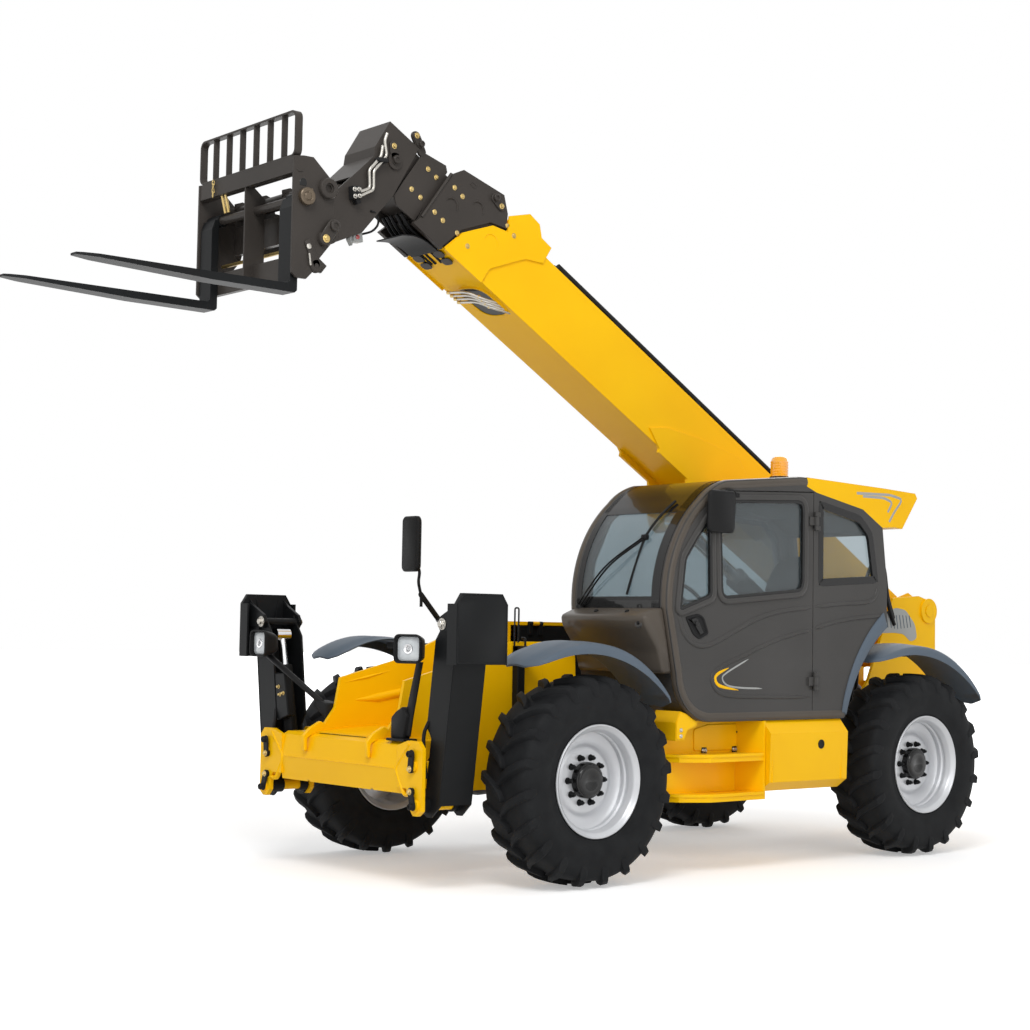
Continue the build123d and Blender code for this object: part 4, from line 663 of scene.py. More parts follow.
# ---- boom, head and carriage ----------------------------------------------------------------------
SECTION_ONE = 0.19           # side planes of the sections, the head and the collar
SECTION_TWO = 0.146
HEAD_SIDE = 0.16
COLLAR_SIDE = 0.2
UNDERSIDE = -0.47
PIPE_SPACING = 0.034
BOOM_BOLTS = [  # piece, body, side plane, radius, then (along, square to the boom) of each bolt
    ("collar_bolts", "boom_first", COLLAR_SIDE, 0.012, [(4.694, -0.058), (4.959, -0.354)]),
    ("section_one_bolts", "boom_second", SECTION_ONE, 0.012, [
        (5.27, -0.33), (5.192, -0.334), (5.227, -0.099), (5.149, -0.106), (4.765, -0.03), (5.062, -0.33)]),
    ("section_two_bolts", "boom_third", SECTION_TWO, 0.012, [
        (5.462, -0.296), (5.381, -0.296), (5.428, -0.107), (5.351, -0.11)]),
    ("head_bolts", "boom_fourth", HEAD_SIDE, 0.01, [(5.78, -0.96), (5.85, -0.905)]),
]
BOOM_LOCKS = {  # body: side plane, bolt's end, pin's end, radius
    "boom_second": (SECTION_ONE, (4.873, 0.039), (4.94, 0.053), 0.03),
    "boom_third": (SECTION_TWO, (5.61, 0.008), (5.56, -0.02), 0.026),
    "boom_fourth": (HEAD_SIDE, (5.717, -0.171), (5.664, -0.237), 0.032),
}


def lock_plate(place, axis, bolt_end, ring_end, base, radius=0.03):
    """Pin lock: a bar with round ends, with a ring round the pin's end. Its bolt is apart."""
    bar = slab(stadium(bolt_end, ring_end, radius), place, base - 0.001, base + 0.012, 0.004)
    ring = [(-0.001, radius * 0.8), (0.02, radius * 0.8), (0.024, radius * 0.66), (0.024, radius * 0.42),
            (0.018, radius * 0.38), (0.018, 0.0)]
    return joined(bar, turned(ring, at(place, *ring_end, base + 0.01), axis, 24))


def lock_bolt(place, axis, bolt_end, base):
    """Plated bolt with a wide washer on a lock plate."""
    return bolts([at(place, *bolt_end, base + 0.011)], axis, 0.013, 0.014)


def boom_sides():
    """Bolts, weld marks and locks on both sides of the boom."""
    sides = [(on_side(turn, boom_at), (0, turn, 0)) for turn in (1, -1)]
    for name, body, depth, radius, pairs in BOOM_BOLTS:
        heads = [bolts(spots(place, pairs, depth), across, radius) for place, across in sides]
        if body in BOOM_LOCKS:
            heads += [lock_bolt(place, across, BOOM_LOCKS[body][1], depth) for place, across in sides]
        piece(name, heads, "gold_zinc", body)
    welds, marks = [], []
    for place, _ in sides:
        welds.append(bead(bow((4.82, -0.222), 0.06, -20, 170), place, COLLAR_SIDE, 0.004, 0.004, 0.2))
        fold = smooth_line([(4.74, -0.45), (4.738, -0.366), (4.54, -0.128), (4.405, -0.056)])
        welds.append(bead(fold, place, SECTION_ONE + 0.002, 0.006, 0.006, 0.0))
        marks += [bead(bow(middle, 0.05, 0, 190), place, SECTION_ONE, 0.007, 0.008, 0.2)
                  for middle in ((5.187, -0.215), (5.013, -0.1))]
        seam = [(5.332, -0.42), (5.312, -0.23), (5.292, -0.04)]
        marks.append(bead(seam, place, SECTION_ONE, 0.01, 0.01, 0.0))
        marks.append(border(rounded([(5.15, 0.0), (5.138, 0.029), (5.088, 0.027), (5.102, -0.005)], 0.01),
                            0.006, place, SECTION_ONE - 0.002, SECTION_ONE + 0.003, 0.001))
    piece("boom_welds", welds, "yellow", "boom_first", 50)
    piece("section_one_marks", marks, "boom_grey", "boom_second", 50)
    for body, (depth, bolt_end, ring_end, radius) in BOOM_LOCKS.items():
        plates = [lock_plate(place, across, bolt_end, ring_end, depth, radius) for place, across in sides]
        if body == "boom_third":
            arm = stadium(bolt_end, (5.52, -0.045), 0.03)
            plates += [slab(arm, place, 0.128, SECTION_TWO + 0.002) for place, _ in sides]
        piece(f"{body}_locks", plates, "boom_grey", body)


def boom_underside():
    """Wear pads, the window that four steel pipes come out of with a black sheet of painted shade in it, and the
    hose tray.
    """
    flush = lambda s, y, t: boom_at(s, UNDERSIDE - t, y)
    pads = [box_outline((s - 0.03, y - 0.045), (s + 0.03, y + 0.045))
            for s in (4.985, 5.058) for y in (-0.105, 0.105)]
    pads = [plate(pad, 0.03, flush, 0.01, 0.015, 0.001) for pad in pads]
    piece("underside_pads", pads, "boom_grey", "boom_first")
    window = rounded([(4.73, -0.1), (4.7, 0.13), (4.42, 0.15), (4.44, -0.07)], 0.09, 7)
    # painted shade: a flush gloss black sheet fills the window and stands for the shade inside the opening
    piece("underside_window", slab(window, flush, -0.002, 0.002, 0.001), "gloss_black", "boom_first")
    lip = border(drawn_in(window, -0.012), 0.014, flush, -0.002, 0.008)
    piece("underside_window_lip", lip, "yellow", "boom_first")
    pipes, nuts = [], []
    for back in PIPE_SPACING * np.arange(4):
        line = bent_line([at(boom_at, s - back, t, y) for s, t, y in (
            (4.76, -0.522, -0.1), (4.735, -0.522, 0.06), (4.65, -0.52, 0.132), (4.52, -0.462, 0.14))],
            0.035)
        pipes.append(pipe(line, 0.0085))
        ahead, upwards = unit(line[1] - line[0]), unit(line[-1] - line[-6])
        nuts.append(rod([line[0] - ahead * 0.006, line[0] + ahead * 0.022], 0.013, 6, 0.002))
        nuts.append(rod([line[-6], line[-6] + upwards * 0.022], 0.013, 6, 0.002))
    piece("underside_pipes", pipes, "zinc", "boom_first")
    piece("underside_fittings", nuts, "gold_zinc", "boom_first")
    tray = smooth_line([(5.1, -0.49), (5.2, -0.497), (5.29, -0.525), (5.372, -0.58)])
    hose = [(4.98, -0.47), (5.15, -0.468), (5.3, -0.48), (5.42, -0.44)]
    hung = [pipe(smooth_line(spots(boom_at, hose, y), 5), 0.011) for y in (-0.1, -0.06, -0.02, 0.04, 0.09)]
    hung.append(bent_band(tray, -0.12, 0.15, -0.008, 0.0, boom_at))
    piece("hose_tray", hung, "black_plastic", "boom_second")


def head_plumbing():
    """Two steel pipes down the head's left side to a valve block, its slot of painted shade, cable and sensor."""
    routes = {  # distance outwards: the pipe's corners
        0.186: [(5.806, -0.15), (5.796, -0.203), (5.737, -0.268), (5.748, -0.337), (5.763, -0.412),
                (5.703, -0.51), (5.76, -0.606)],
        0.182: [(5.79, -0.235), (5.765, -0.296), (5.774, -0.352), (5.79, -0.425), (5.728, -0.518),
                (5.785, -0.6)],
    }
    lines = [pipe(bent_line(spots(boom_at, route, out), 0.02), 0.0095, 12) for out, route in routes.items()]
    piece("head_pipes", lines, "zinc", "boom_fourth")
    block = [slab(outline, boom_at, HEAD_SIDE, out, ease) for outline, out, ease in (
        ([(5.845, -0.6), (5.8, -0.565), (5.752, -0.625), (5.8, -0.665)], 0.214, 0.005),
        ([(5.76, -0.622), (5.735, -0.64), (5.755, -0.668), (5.782, -0.65)], 0.2, 0.004),
        (stadium((5.772, -0.33), (5.728, -0.302), 0.014), 0.204, 0.004))]
    piece("head_valve", block, "cast", "boom_fourth")
    plugs = spots(boom_at, [(5.825, -0.612), (5.8, -0.592), (5.775, -0.622), (5.8, -0.645)], 0.213)
    piece("head_fittings", bolts(plugs, LEFTWARDS, 0.01, 0.016), "zinc", "boom_fourth")
    cover = lambda t, y, s: boom_at(5.815 + 0 * t + s, t, y)
    # painted shade: the slot is a thin gloss black sheet that stands for the shade in its hollow
    slot = slab(stadium((-0.2, 0.005), (-0.14, 0.005), 0.01), cover, -0.004, 0.0015, 0.0008)
    piece("head_slot", slot, "gloss_black", "boom_fourth")
    cable = smooth_line([at(boom_at, *place) for place in (
        (5.64, -0.62, 0.165), (5.59, -0.6, 0.15), (5.54, -0.63, 0.13), (5.545, -0.69, 0.115),
        (5.6, -0.76, 0.105), (5.625, -0.8, 0.1))], 7)
    piece("head_cable", pipe(cable, 0.007), "black_plastic", "boom_fourth")
    case = [(5.56, -0.79), (5.62, -0.83), (5.665, -0.77), (5.61, -0.73)]
    plug = [(5.61, -0.85), (5.65, -0.83), (5.66, -0.8), (5.62, -0.81)]
    sensor = [plate(case, 0.01, boom_at, 0.06, 0.12, 0.004), slab(plug, boom_at, 0.07, 0.11)]
    piece("head_sensor", sensor, "light_grey", "boom_fourth")
    disc = [(0, 0.014), (0.005, 0.014), (0.008, 0.008), (0.008, 0)]
    reflector = turned(disc, at(boom_at, 5.612, -0.79, 0.119), LEFTWARDS, 18)
    piece("sensor_reflector", reflector, "red_lens", "boom_fourth")


CARRIAGE_SIDE = 0.52
SHAFT = 3.239, 3.924         # x and z of the fork shaft, the cross tube and the lower pin's lock
CROSS_TUBE = 3.095, 3.992
LOWER_LOCK = 3.112, 3.7
CARRIAGE_DISCS = [  # finish, middle, depth from the side, sides, profile of each turned form
    ("bronze", SHAFT, 0.0, 36, [(-0.004, 0.05), (0.026, 0.05), (0.031, 0.045), (0.031, 0.03),
                                (0.026, 0.026), (0.026, 0.022), (0.031, 0.018), (0.031, 0.0)]),
    ("boom_grey", CROSS_TUBE, 0.0, 36, [(-0.004, 0.06), (0.024, 0.06), (0.03, 0.054), (0.03, 0.03),
                                        (0.006, 0.028), (0.006, 0.0)]),
    ("boom_grey", LOWER_LOCK, 0.0, 32, [(-0.002, 0.042), (0.022, 0.042), (0.028, 0.036), (0.028, 0.0)]),
    ("boom_grey", (3.16, 3.54), -0.01, 28, [(-0.002, 0.04), (0.014, 0.04), (0.02, 0.034), (0.02, 0.014),
                                               (0.012, 0.012), (0.012, 0.0)]),
    ("zinc", (3.217, 3.643), 0.009, 18, [(0, 0.016), (0.006, 0.016), (0.01, 0.01), (0.01, 0.0)]),
]
CARRIAGE_BARS = [  # finish, two ends, radius, depth of the foot and of the top from the side
    ("bronze", (3.214, 3.964), (3.226, 3.95), 0.009, 0.004, 0.028),
    ("boom_grey", (3.216, 3.66), (3.16, 3.548), 0.024, -0.002, 0.01),
    ("zinc", (3.214, 3.6), (3.204, 3.54), 0.006, 0.01, 0.018),
]


def carriage_dress():
    """Shaft ends, pin locks, levers, slots of painted shade, chain and small hardware of the fork carriage."""
    shapes = {"bronze": [], "boom_grey": [], "zinc": [], "gloss_black": [], "gold_zinc": []}
    slot = np.concatenate([[(3.282, 3.985), (3.282, 4.006)], bow((3.257, 4.006), 0.022, 20, 160, 8),
                           [(3.234, 4.002), (3.238, 3.985)]])
    for turn in (1, -1):
        place, across = on_side(turn), (0, turn, 0)
        for finish, middle, depth, sides, profile in CARRIAGE_DISCS:
            shapes[finish].append(turned(profile, at(place, *middle, CARRIAGE_SIDE + depth), across, sides))
        for finish, first, last, radius, low, high in CARRIAGE_BARS:
            bar = stadium(first, last, radius)
            shapes[finish].append(slab(bar, place, CARRIAGE_SIDE + low, CARRIAGE_SIDE + high))
        grey = shapes["boom_grey"]
        grey.append(lock_plate(place, across, LOWER_LOCK, (3.061, 3.779), CARRIAGE_SIDE + 0.018, 0.04))
        ridge = [(3.311, 4.072), (3.284, 4.064), (3.257, 4.066)]
        grey.append(bead(ridge, place, CARRIAGE_SIDE, 0.007, 0.006, 0.3))
        bolt = at(place, *LOWER_LOCK, CARRIAGE_SIDE + 0.03)
        shapes["gold_zinc"].append(bolts([bolt], across, 0.017, 0.014))
        # painted shade: each slot is a thin gloss black sheet that stands for the shade in its hollow
        slot_shade = slab(slot, place, CARRIAGE_SIDE - 0.003, CARRIAGE_SIDE + 0.0015, 0.0008)
        shapes["gloss_black"].append(slot_shade)
    piece("carriage_shaft_ends", shapes["bronze"], "bronze", "carriage")
    piece("carriage_locks", shapes["boom_grey"], "boom_grey", "carriage", 45)
    piece("carriage_slots", shapes["gloss_black"], "gloss_black", "carriage")
    piece("carriage_pin_bolts", shapes["gold_zinc"], "gold_zinc", "carriage")
    piece("carriage_levers", shapes["zinc"], "zinc", "carriage")
    bars = [rod(moved([(3.165, -0.48, 3.668), (3.165, 0.48, 3.668)]), 0.011, 14, 0.002)]
    bars += [rod(moved([(3.29, y, 4.062), (3.262, y, 3.955)]), 0.009, 12, 0.002) for y in (-0.3, -0.262)]
    piece("carriage_rods", bars, "gold_zinc", "carriage")
    # short chain: oval links, every other one turned
    t = np.linspace(0, TAU, 17)[:-1]
    links = []
    for k in range(4):
        middle = moved((3.328 + 0.002 * (k % 2), -0.34, 4.136 - 0.024 * k))
        spread = unit((0.3, 1, 0) if k % 2 else (1, 0.3, 0))
        ring = middle + 0.009 * np.cos(t)[:, None] * spread + 0.017 * np.sin(t)[:, None] * UPWARDS
        links.append(pipe(np.concatenate([ring, ring[:2]]), 0.0032, 6))
    piece("carriage_chain", links, "gold_zinc", "carriage")


# ---- nose, stabilisers and lamps --------------------------------------------------------------------
BEAM_FRONT = 2.575
RAIL_INSIDE = 0.318          # inner and outer face of each frame rail
RAIL_OUTSIDE = 0.3415
LAMPS = [((2.585, 0.74, 1.385), 0.42), ((2.585, -0.79, 1.39), 0.02)]     # middle, angle outwards
LEG_LEAN = np.radians(7.5)
LEG_PIN = 0.785, 0.5       # y and z of a leg's foot pin
PAD_Y, PAD_Z = 0.94058, 1.52849
SOLE = PAD_Y + 0.16         # the pad's back, folded up
PAD_MIDDLE = 2.388


def nose_dress():
    """Ridges, fingers, pin locks and the deck between the frame's front ends, with a black strip of painted shade
    in the gap at the deck's front.
    """
    seams, fingers, locks, gold = [], [], [], []
    cheek = bent_line([(0.715, 0.842), (0.585, 0.695), (0.672, 0.545), (0.715, 0.56)], 0.03)
    finger = rounded([(2.572, 0.742), (2.596, 0.742), (2.604, 0.838), (2.56, 0.882), (2.478, 0.924),
                      (2.44, 0.9), (2.47, 0.848), (2.54, 0.84), (2.574, 0.82)], 0.012)
    base = BEAM_FRONT + 0.01
    for turn in (1, -1):
        place = on_front(turn)
        seams.append(bead(cheek, place, BEAM_FRONT - 0.004, 0.011, 0.011, 0.0, 0.02))
        fingers.append(slab(finger, on_side(turn), 0.316, 0.344, 0.005))
        for ring_end, bolt_end in (((0.758, 0.79), (0.75, 0.704)), ((0.778, 0.494), (0.754, 0.576))):
            locks.append(lock_plate(place, FORWARDS, bolt_end, ring_end, base, 0.024))
            stem = at(place, *bolt_end, base)
            locks.append(turned([(-0.012, 0.022), (0.002, 0.022)], stem, FORWARDS, 16))
            gold.append(lock_bolt(place, FORWARDS, bolt_end, base))
        # ribs pressed into the inner face of the frame rail
        inner = lambda x, z, y: side_at(x, z, (RAIL_INSIDE - y) * turn)
        rib = [(2.22, 1.05), (2.05, 1.062), (1.88, 1.09), (1.7, 1.15)]
        seams.append(bead(rib, inner, 0.0, 0.028, 0.018, 0.08))
        seams.append(bead([(2.3, 1.16), (2.14, 1.19), (1.96, 1.23)], inner, 0.0, 0.01, 0.008, 0.1))
    line = [(-0.568, 0.697), (0.0, 0.697), (0.568, 0.697)]
    seams.append(bead(line, front_at, BEAM_FRONT - 0.002, 0.006, 0.005, 0.0))
    piece("nose_ridges", seams, "yellow", smooth=50)
    piece("nose_fingers", fingers, "yellow")
    piece("clevis_locks", locks, "black_plastic")
    piece("clevis_bolts", gold, "gold_zinc")
    deck = [(2.515, 0.851), (2.3, 0.87), (2.11, 0.88), (1.96, 0.88), (1.82, 0.88)]
    deck = bent_band(deck, -RAIL_INSIDE, RAIL_INSIDE, -0.008, 0.0, side_at)
    piece("nose_deck", deck, "yellow", smooth=30)
    # painted shade: a thin gloss black strip in the gap between deck and beam stands for the shade in the gap
    gap_shade = bent_band([(2.519, 0.853), (2.509, 0.8555)], -0.27, 0.21, 0.0, 0.0014, side_at)
    piece("nose_slot", gap_shade, "gloss_black")
    small = moved([(2.3, -0.2, 0.87), (2.3, 0.08, 0.87), (2.15, -0.12, 0.878)])
    piece("deck_bolts", bolts(small, UPWARDS, 0.007, 0.007), "zinc")


def lamp(middle, yaw):
    """One hooded lamp, turned about the vertical by yaw: rounded square rings (along, half) run along
    its axis, out to the hood's lip and back in to the lens. Gives housing, lens and reflector."""
    middle = moved(middle)
    ahead = np.array((np.cos(yaw), np.sin(yaw), 0))
    across = np.array((-np.sin(yaw), np.cos(yaw), 0))
    square = rounded(box_outline((-1, -0.95), (1, 0.95)), 0.42, 6)
    place = lambda u, v, w: middle + u[:, None] * across + v[:, None] * UPWARDS + w[:, None] * ahead
    hood = [(-0.062, 0.04), (-0.056, 0.05), (-0.02, 0.07), (0.03, 0.082), (0.062, 0.088), (0.068, 0.086),
            (0.068, 0.079), (0.034, 0.074), (0.034, 0.02)]
    lens = [(0.034, 0.0735), (0.042, 0.072), (0.048, 0.05), (0.051, 0.025)]
    ring = [(0, 0.03), (0.004, 0.028), (0.005, 0.02), (0.001, 0.016), (0.001, 0.0)]
    return (*(stacked([(square * half, deep) for deep, half in rings], place) for rings in (hood, lens)),
            turned(ring, middle + ahead * 0.05, ahead, 20))


def lamps():
    """Two work lamps on their brackets, in place of their plain solids."""
    housings, lenses, reflectors = map(list, zip(*(lamp(*row) for row in LAMPS)))
    post = [(0.56, 0.88), (0.64, 0.88), (0.665, 1.0), (0.745, 1.31), (0.69, 1.31)]
    foot = [(0.485, 0.864), (0.6, 0.864), (0.632, 1.0), (0.59, 1.05), (0.53, 1.02), (0.485, 0.985)]
    shoe = [(-0.345, 0.93), (-0.345, 1.03), (-0.47, 1.045), (-0.49, 1.01)]
    housings += [
        slab(post, front_at, 2.505, 2.52, 0.004),
        brick(moved([(2.462, 0.47, 0.8505), (2.56, 0.64, 0.866)])),
        plate(foot, 0.01, front_at, 2.48, 2.54, 0.006), plate(shoe, 0.012, front_at, 2.325, 2.425, 0.006),
        rod(moved([(2.56, -0.8, 1.315), (2.375, -0.385, 0.995)]), 0.019, 18, 0.003)]
    piece("lamp_housings", housings, "black_plastic", smooth=50, stands_for=["work_lamps"])
    piece("lamp_lenses", lenses, "lens", smooth=60)
    piece("lamp_reflectors", reflectors, "chrome")


def leg_at(turn):
    """Place function of a leg: outwards square to it, along it from its foot pin, and x."""
    def place(out, along, x):
        return np.column_stack([
            x + AXLE_MIDDLE + 0 * out,
            turn * (LEG_PIN[0] + out * np.cos(LEG_LEAN) + along * np.sin(LEG_LEAN)),
            LEG_PIN[1] - out * np.sin(LEG_LEAN) + along * np.cos(LEG_LEAN)])
    return place


def stabiliser_dress(side, turn):
    """Edge ridge, side plate and hose on a leg, and the formed sole of its pad."""
    place = leg_at(turn)
    trim = [bead([(0.124, 0.06), (0.124, 0.5), (0.124, 1.02)], place, 2.503, 0.004, 0.003, 0.0),
            slab(stadium((0.0, 0.0), (0.01, 0.01), 0.03, 10), place, 2.54, 2.546, 0.002),
            plate([(-0.062, 0.44), (-0.03, 0.44), (-0.02, 0.72), (-0.07, 0.7)], 0.01, place, 2.47, 2.485)]
    piece(f"leg_trim_{side}", trim, "frame_black", f"leg_{side}")
    heads = spots(place, [(-0.045, along) for along in (0.48, 0.56, 0.66)], 2.484)
    piece(f"leg_bolts_{side}", bolts(heads, FORWARDS, 0.009, 0.009), "zinc", f"leg_{side}")
    hose = smooth_line([at(place, *spot) for spot in (
        (-0.05, 0.47, 2.5), (-0.062, 0.4, 2.516), (-0.045, 0.32, 2.522), (-0.03, 0.24, 2.518),
        (-0.01, 0.15, 2.508))])
    piece(f"leg_hose_{side}", pipe(hose, 0.011, 12), "black_plastic", f"leg_{side}")
    # pad: lip round the sole, side webs and ribs across its back
    flat = on_side(turn)
    outline = rounded([(2.203, PAD_Z - 0.225), (2.573, PAD_Z - 0.225), (2.573, PAD_Z + 0.115),
                       (2.533, PAD_Z + 0.175), (2.243, PAD_Z + 0.175), (2.203, PAD_Z + 0.115)], 0.02)
    form = [border(drawn_in(outline, 0.001), 0.012, flat, SOLE + 0.02, SOLE + 0.029),
            slab(drawn_in(outline, 0.012), flat, SOLE + 0.024, SOLE + 0.0275, 0.001)]
    web = [(SOLE, PAD_Z - 0.19), (SOLE, PAD_Z + 0.145), (PAD_Y + 0.04, PAD_Z + 0.055),
           (PAD_Y + 0.04, PAD_Z - 0.05)]
    form += [slab(web, on_front(turn), x, x + 0.006, 0.002) for x in (2.256, 2.514)]
    back = lambda x, z, y: side_at(x, z, (SOLE - y) * turn)
    for x in (2.3, 2.47):
        rib = [(x, PAD_Z - 0.2), (PAD_MIDDLE + (x - PAD_MIDDLE) * 0.6, PAD_Z - 0.02), (x, PAD_Z + 0.15)]
        form.append(bead(rib, back, 0.0, 0.008, 0.022, 0.05))
    piece(f"pad_form_{side}", form, "frame_black", f"pad_{side}", 45)
    washer = [(0, 0.034), (0.005, 0.034), (0.005, 0.026), (0.01, 0.024)]
    nut = [(0.006, 0.021), (0.02, 0.021), (0.024, 0.017)]
    ends = [turned(profile, moved((x, turn * PAD_Y, PAD_Z)), (way, 0, 0), sides)
            for x, way in ((2.529, 1), (2.247, -1)) for profile, sides in ((washer, 24), (nut, 6))]
    piece(f"pad_pin_nuts_{side}", ends, "zinc", f"pad_{side}")


def leg_valve():
    """Valve box on the right leg."""
    place = leg_at(-1)
    outline = [(-0.19, 0.42), (-0.062, 0.4), (-0.062, 0.7), (-0.17, 0.69)]
    piece("leg_valve_box", plate(outline, 0.008, place, 2.445, 2.5, 0.005), "frame_black", "leg_right")
    heads = spots(place, [(-0.1, 0.61), (-0.112, 0.56), (-0.15, 0.565)], 2.499)
    piece("leg_valve_fittings", bolts(heads, FORWARDS, 0.009, 0.016), "gold_zinc", "leg_right")


# ---- mudguards, cowl, steps, hood, mirrors and small trim --------------------------------------------
MUDGUARDS = [  # wheel x, then x from the axle and height of front tip, crown and rear tip
    (1.535, (0.498, 1.297), (-0.06, 1.425), (-0.627, 1.054)),
    (-1.535, (0.505, 1.33), (-0.04, 1.43), (-0.671, 1.035)),
]
GUARD_MIDDLE, GUARD_HALF = 0.9975, 0.195      # y and half width
GUARD_CROWN, GUARD_DROP, GUARD_PANEL = 0.016, 0.058, 0.009
GUARD_SECTION = np.array([  # across a guard: position, share of the turned-down edge, depth of the skin
    *((v, 0, 0) for v in (-1, -0.92, -0.7, -0.6, -0.3, 0, 0.3, 0.6, 0.7, 0.88)), (0.96, 0.15, 0),
    (1, 0.4, 0.004), (1, 1, 0.006), (0.95, 1, 0.006), (0.9, 0, 0.012), (0, 0, 0.012), (-0.95, 0, 0.01)])


def mudguard(wheel_x, tips, turn):
    """Crowned guard over a wheel. u runs along the arc and v across it: the half width w(u) closes
    in at both tips, the crown is h (1 - v^2) with a raised middle panel near the front tip, and the
    outer edge turns down by d sin(pi u)^0.7."""
    line = arc(*[(wheel_x + x, z) for x, z in tips], steps=34)
    u = np.linspace(0, 1, len(line))
    v, turned_down, skin = GUARD_SECTION.T
    up = -path_normals(line)
    up = up * np.sign(up[len(up) // 2, 1])
    narrow = np.clip(np.minimum(u / 0.13, (1 - u) / 0.06), 0.0, 1)
    half = GUARD_HALF * (0.45 + 0.55 * np.sqrt(1 - (1 - narrow) ** 2))
    near_tip = np.clip((0.34 - u) / 0.05, 0, 1) * np.clip(u / 0.06, 0, 1)
    panel = (np.abs(v) <= 0.6)[None] * near_tip[:, None] * GUARD_PANEL
    drop = turned_down[None] * (GUARD_DROP * np.sin(np.pi * u) ** 0.7)[:, None]
    offset = GUARD_CROWN * (1 - v**2)[None] + panel - drop - skin[None] - 0.004
    flat = line[:, None] + up[:, None] * offset[..., None]
    y = turn * (GUARD_MIDDLE + half[:, None] * v[None])
    return side_at(flat[..., 0].ravel(), flat[..., 1].ravel(), y.ravel()), grid_faces(len(line), len(v))


def mudguards():
    """All four guards and the posts that hold them, in place of the plain solid."""
    shells, posts = [], []
    for wheel_x, *tips in MUDGUARDS:
        for turn in (1, -1):
            shells.append(mudguard(wheel_x, tips, turn))
            for foot, top, out in ((0.79, 1.4, 0.4), (1.362, 1.404, 0.98)):
                outline = box_outline((wheel_x - 0.09, foot), (wheel_x - 0.03, top))
                posts.append(slab(outline, on_side(turn), 0.3425, out, 0.005))
    piece("mudguards", shells, "fender", smooth=45, stands_for=["fenders"])
    piece("mudguard_posts", posts, "frame_black")


def cowl_and_nose_cover():
    """Cowl with rounded edges, its bolts and washer nozzles, and the frame's cheek beside it."""
    shape = [(0.953, 1.652), (1.0, 1.65), (1.124, 1.601), (1.108, 1.538), (0.998, 1.392), (0.96, 1.252),
             (0.868, 1.252)]
    cowl = plate(shape, 0.03, side_at, 0.347, 1.118, 0.016, 5)
    piece("cowl", cowl, "cab_frame", smooth=50, stands_for=["front_cowl"])
    slope = 0.93, 0.0, 0.3
    boss = [(-0.006, 0.034), (0.004, 0.034), (0.008, 0.028), (0.008, 0.02), (0.002, 0.018), (0.002, 0.0)]
    piece("cowl_boss", turned(boss, moved((1.105, 1.06, 1.56)), slope, 24), "cab_charcoal")
    nozzle = [(0, 0.016), (0.008, 0.014), (0.012, 0.008), (0.012, 0)]
    fittings = [turned(nozzle, moved((1.055, y, 1.627)), (0.35, 0, 1), 16) for y in (0.62, 0.9)]
    fittings.append(bolts([moved((1.11, 1.06, 1.562))], slope, 0.01, 0.008))
    piece("cowl_fittings", fittings, "black_plastic")
    cheek = [(1.302, 0.95), (1.302, 1.429), (1.175, 1.432), (0.975, 1.42), (0.96, 0.957)]
    piece("frame_cheek", plate(cheek, 0.008, side_at, 0.3185, RAIL_OUTSIDE, 0.004), "yellow")
    seam = [(1.47, 0.72), (1.47, 1.05), (1.47, 1.345)]
    piece("nose_seam", bead(seam, side_at, 0.342, 0.004, 0.002, 0.0), "frame_black")
    handle = moved([(1.5, 0.338, 1.35), (1.5, 0.356, 1.38), (1.5, 0.356, 1.64), (1.468, 0.356, 1.64),
                    (1.468, 0.356, 1.425)])
    latch = moved([(1.425, 0.338, 1.452), (1.425, 0.372, 1.452), (1.425, 0.372, 1.35),
                   (1.425, 0.338, 1.35)])
    pipes = [pipe(bent_line(handle, 0.012, 4), 0.0055, 8), pipe(bent_line(latch, 0.01, 4), 0.007, 8)]
    piece("nose_handle", pipes, "black_plastic")


def steps_and_box():
    """Lid, latch, hinges, folded shelf lips and bolts of the step unit, and the side box's edges."""
    lid = [(0.525, 0.897), (0.523, 0.761), (0.08, 0.759), (0.08, 0.925), (0.4, 0.925)]
    hood = [(0.826, 0.846), (0.826, 0.948), (0.794, 1.014), (0.744, 1.0), (0.682, 0.965), (0.656, 0.95),
            (0.664, 0.93), (0.732, 0.906), (0.76, 0.846)]
    front = bent_line([(0.078, 1.15), (0.56, 1.15), (0.735, 1.05), (0.789, 0.962)], 0.04)
    plan = lambda x, y, z: side_at(x, z, y)
    panels = [plate(lid, 0.02, side_at, 0.9595, 0.968), plate(hood, 0.012, side_at, 1.109, 1.116)]
    panels += [bent_band(front, z + 0.03, z + 0.05, -0.0015, 0.006, plan) for z in (0.455, 0.7)]
    piece("step_panels", panels, "yellow")
    hinges = 0.434, 0.155
    diamond = [(0.088, 0.873), (0.116, 0.901), (0.144, 0.873), (0.116, 0.845)]
    lock = [(-0.004, 0.03), (0.003, 0.03), (0.005, 0.026), (0.001, 0.022), (0.001, 0.0)]
    latches = [plate(diamond, 0.006, side_at, 0.967, 0.976),
               turned(lock, moved((-0.434, 1.188, 0.793)), (0, 1, -0.03), 24)]
    for x in hinges:
        hinge = box_outline((x - 0.022, 0.742), (x + 0.022, 0.782))
        latches.append(plate(hinge, 0.006, side_at, 0.967, 0.973, 0.002))
    piece("step_latches", latches, "black_plastic")
    heads = [(0.79, 1.116, 0.905), (0.79, 1.116, 0.868)]
    heads += [(x + dx, 0.972, 0.762) for x in hinges for dx in (-0.01, 0.01)]
    piece("step_bolts", bolts(moved(heads), LEFTWARDS, 0.009, 0.008), "zinc")
    edges = [bead([(x, 0.56), (x, 0.72), (x, 0.865)], side_at, 1.182, 0.004, 0.006, 0.0, 0.01)
             for x in (-0.64, 0.03)]
    piece("box_edges", edges, "yellow", smooth=50)


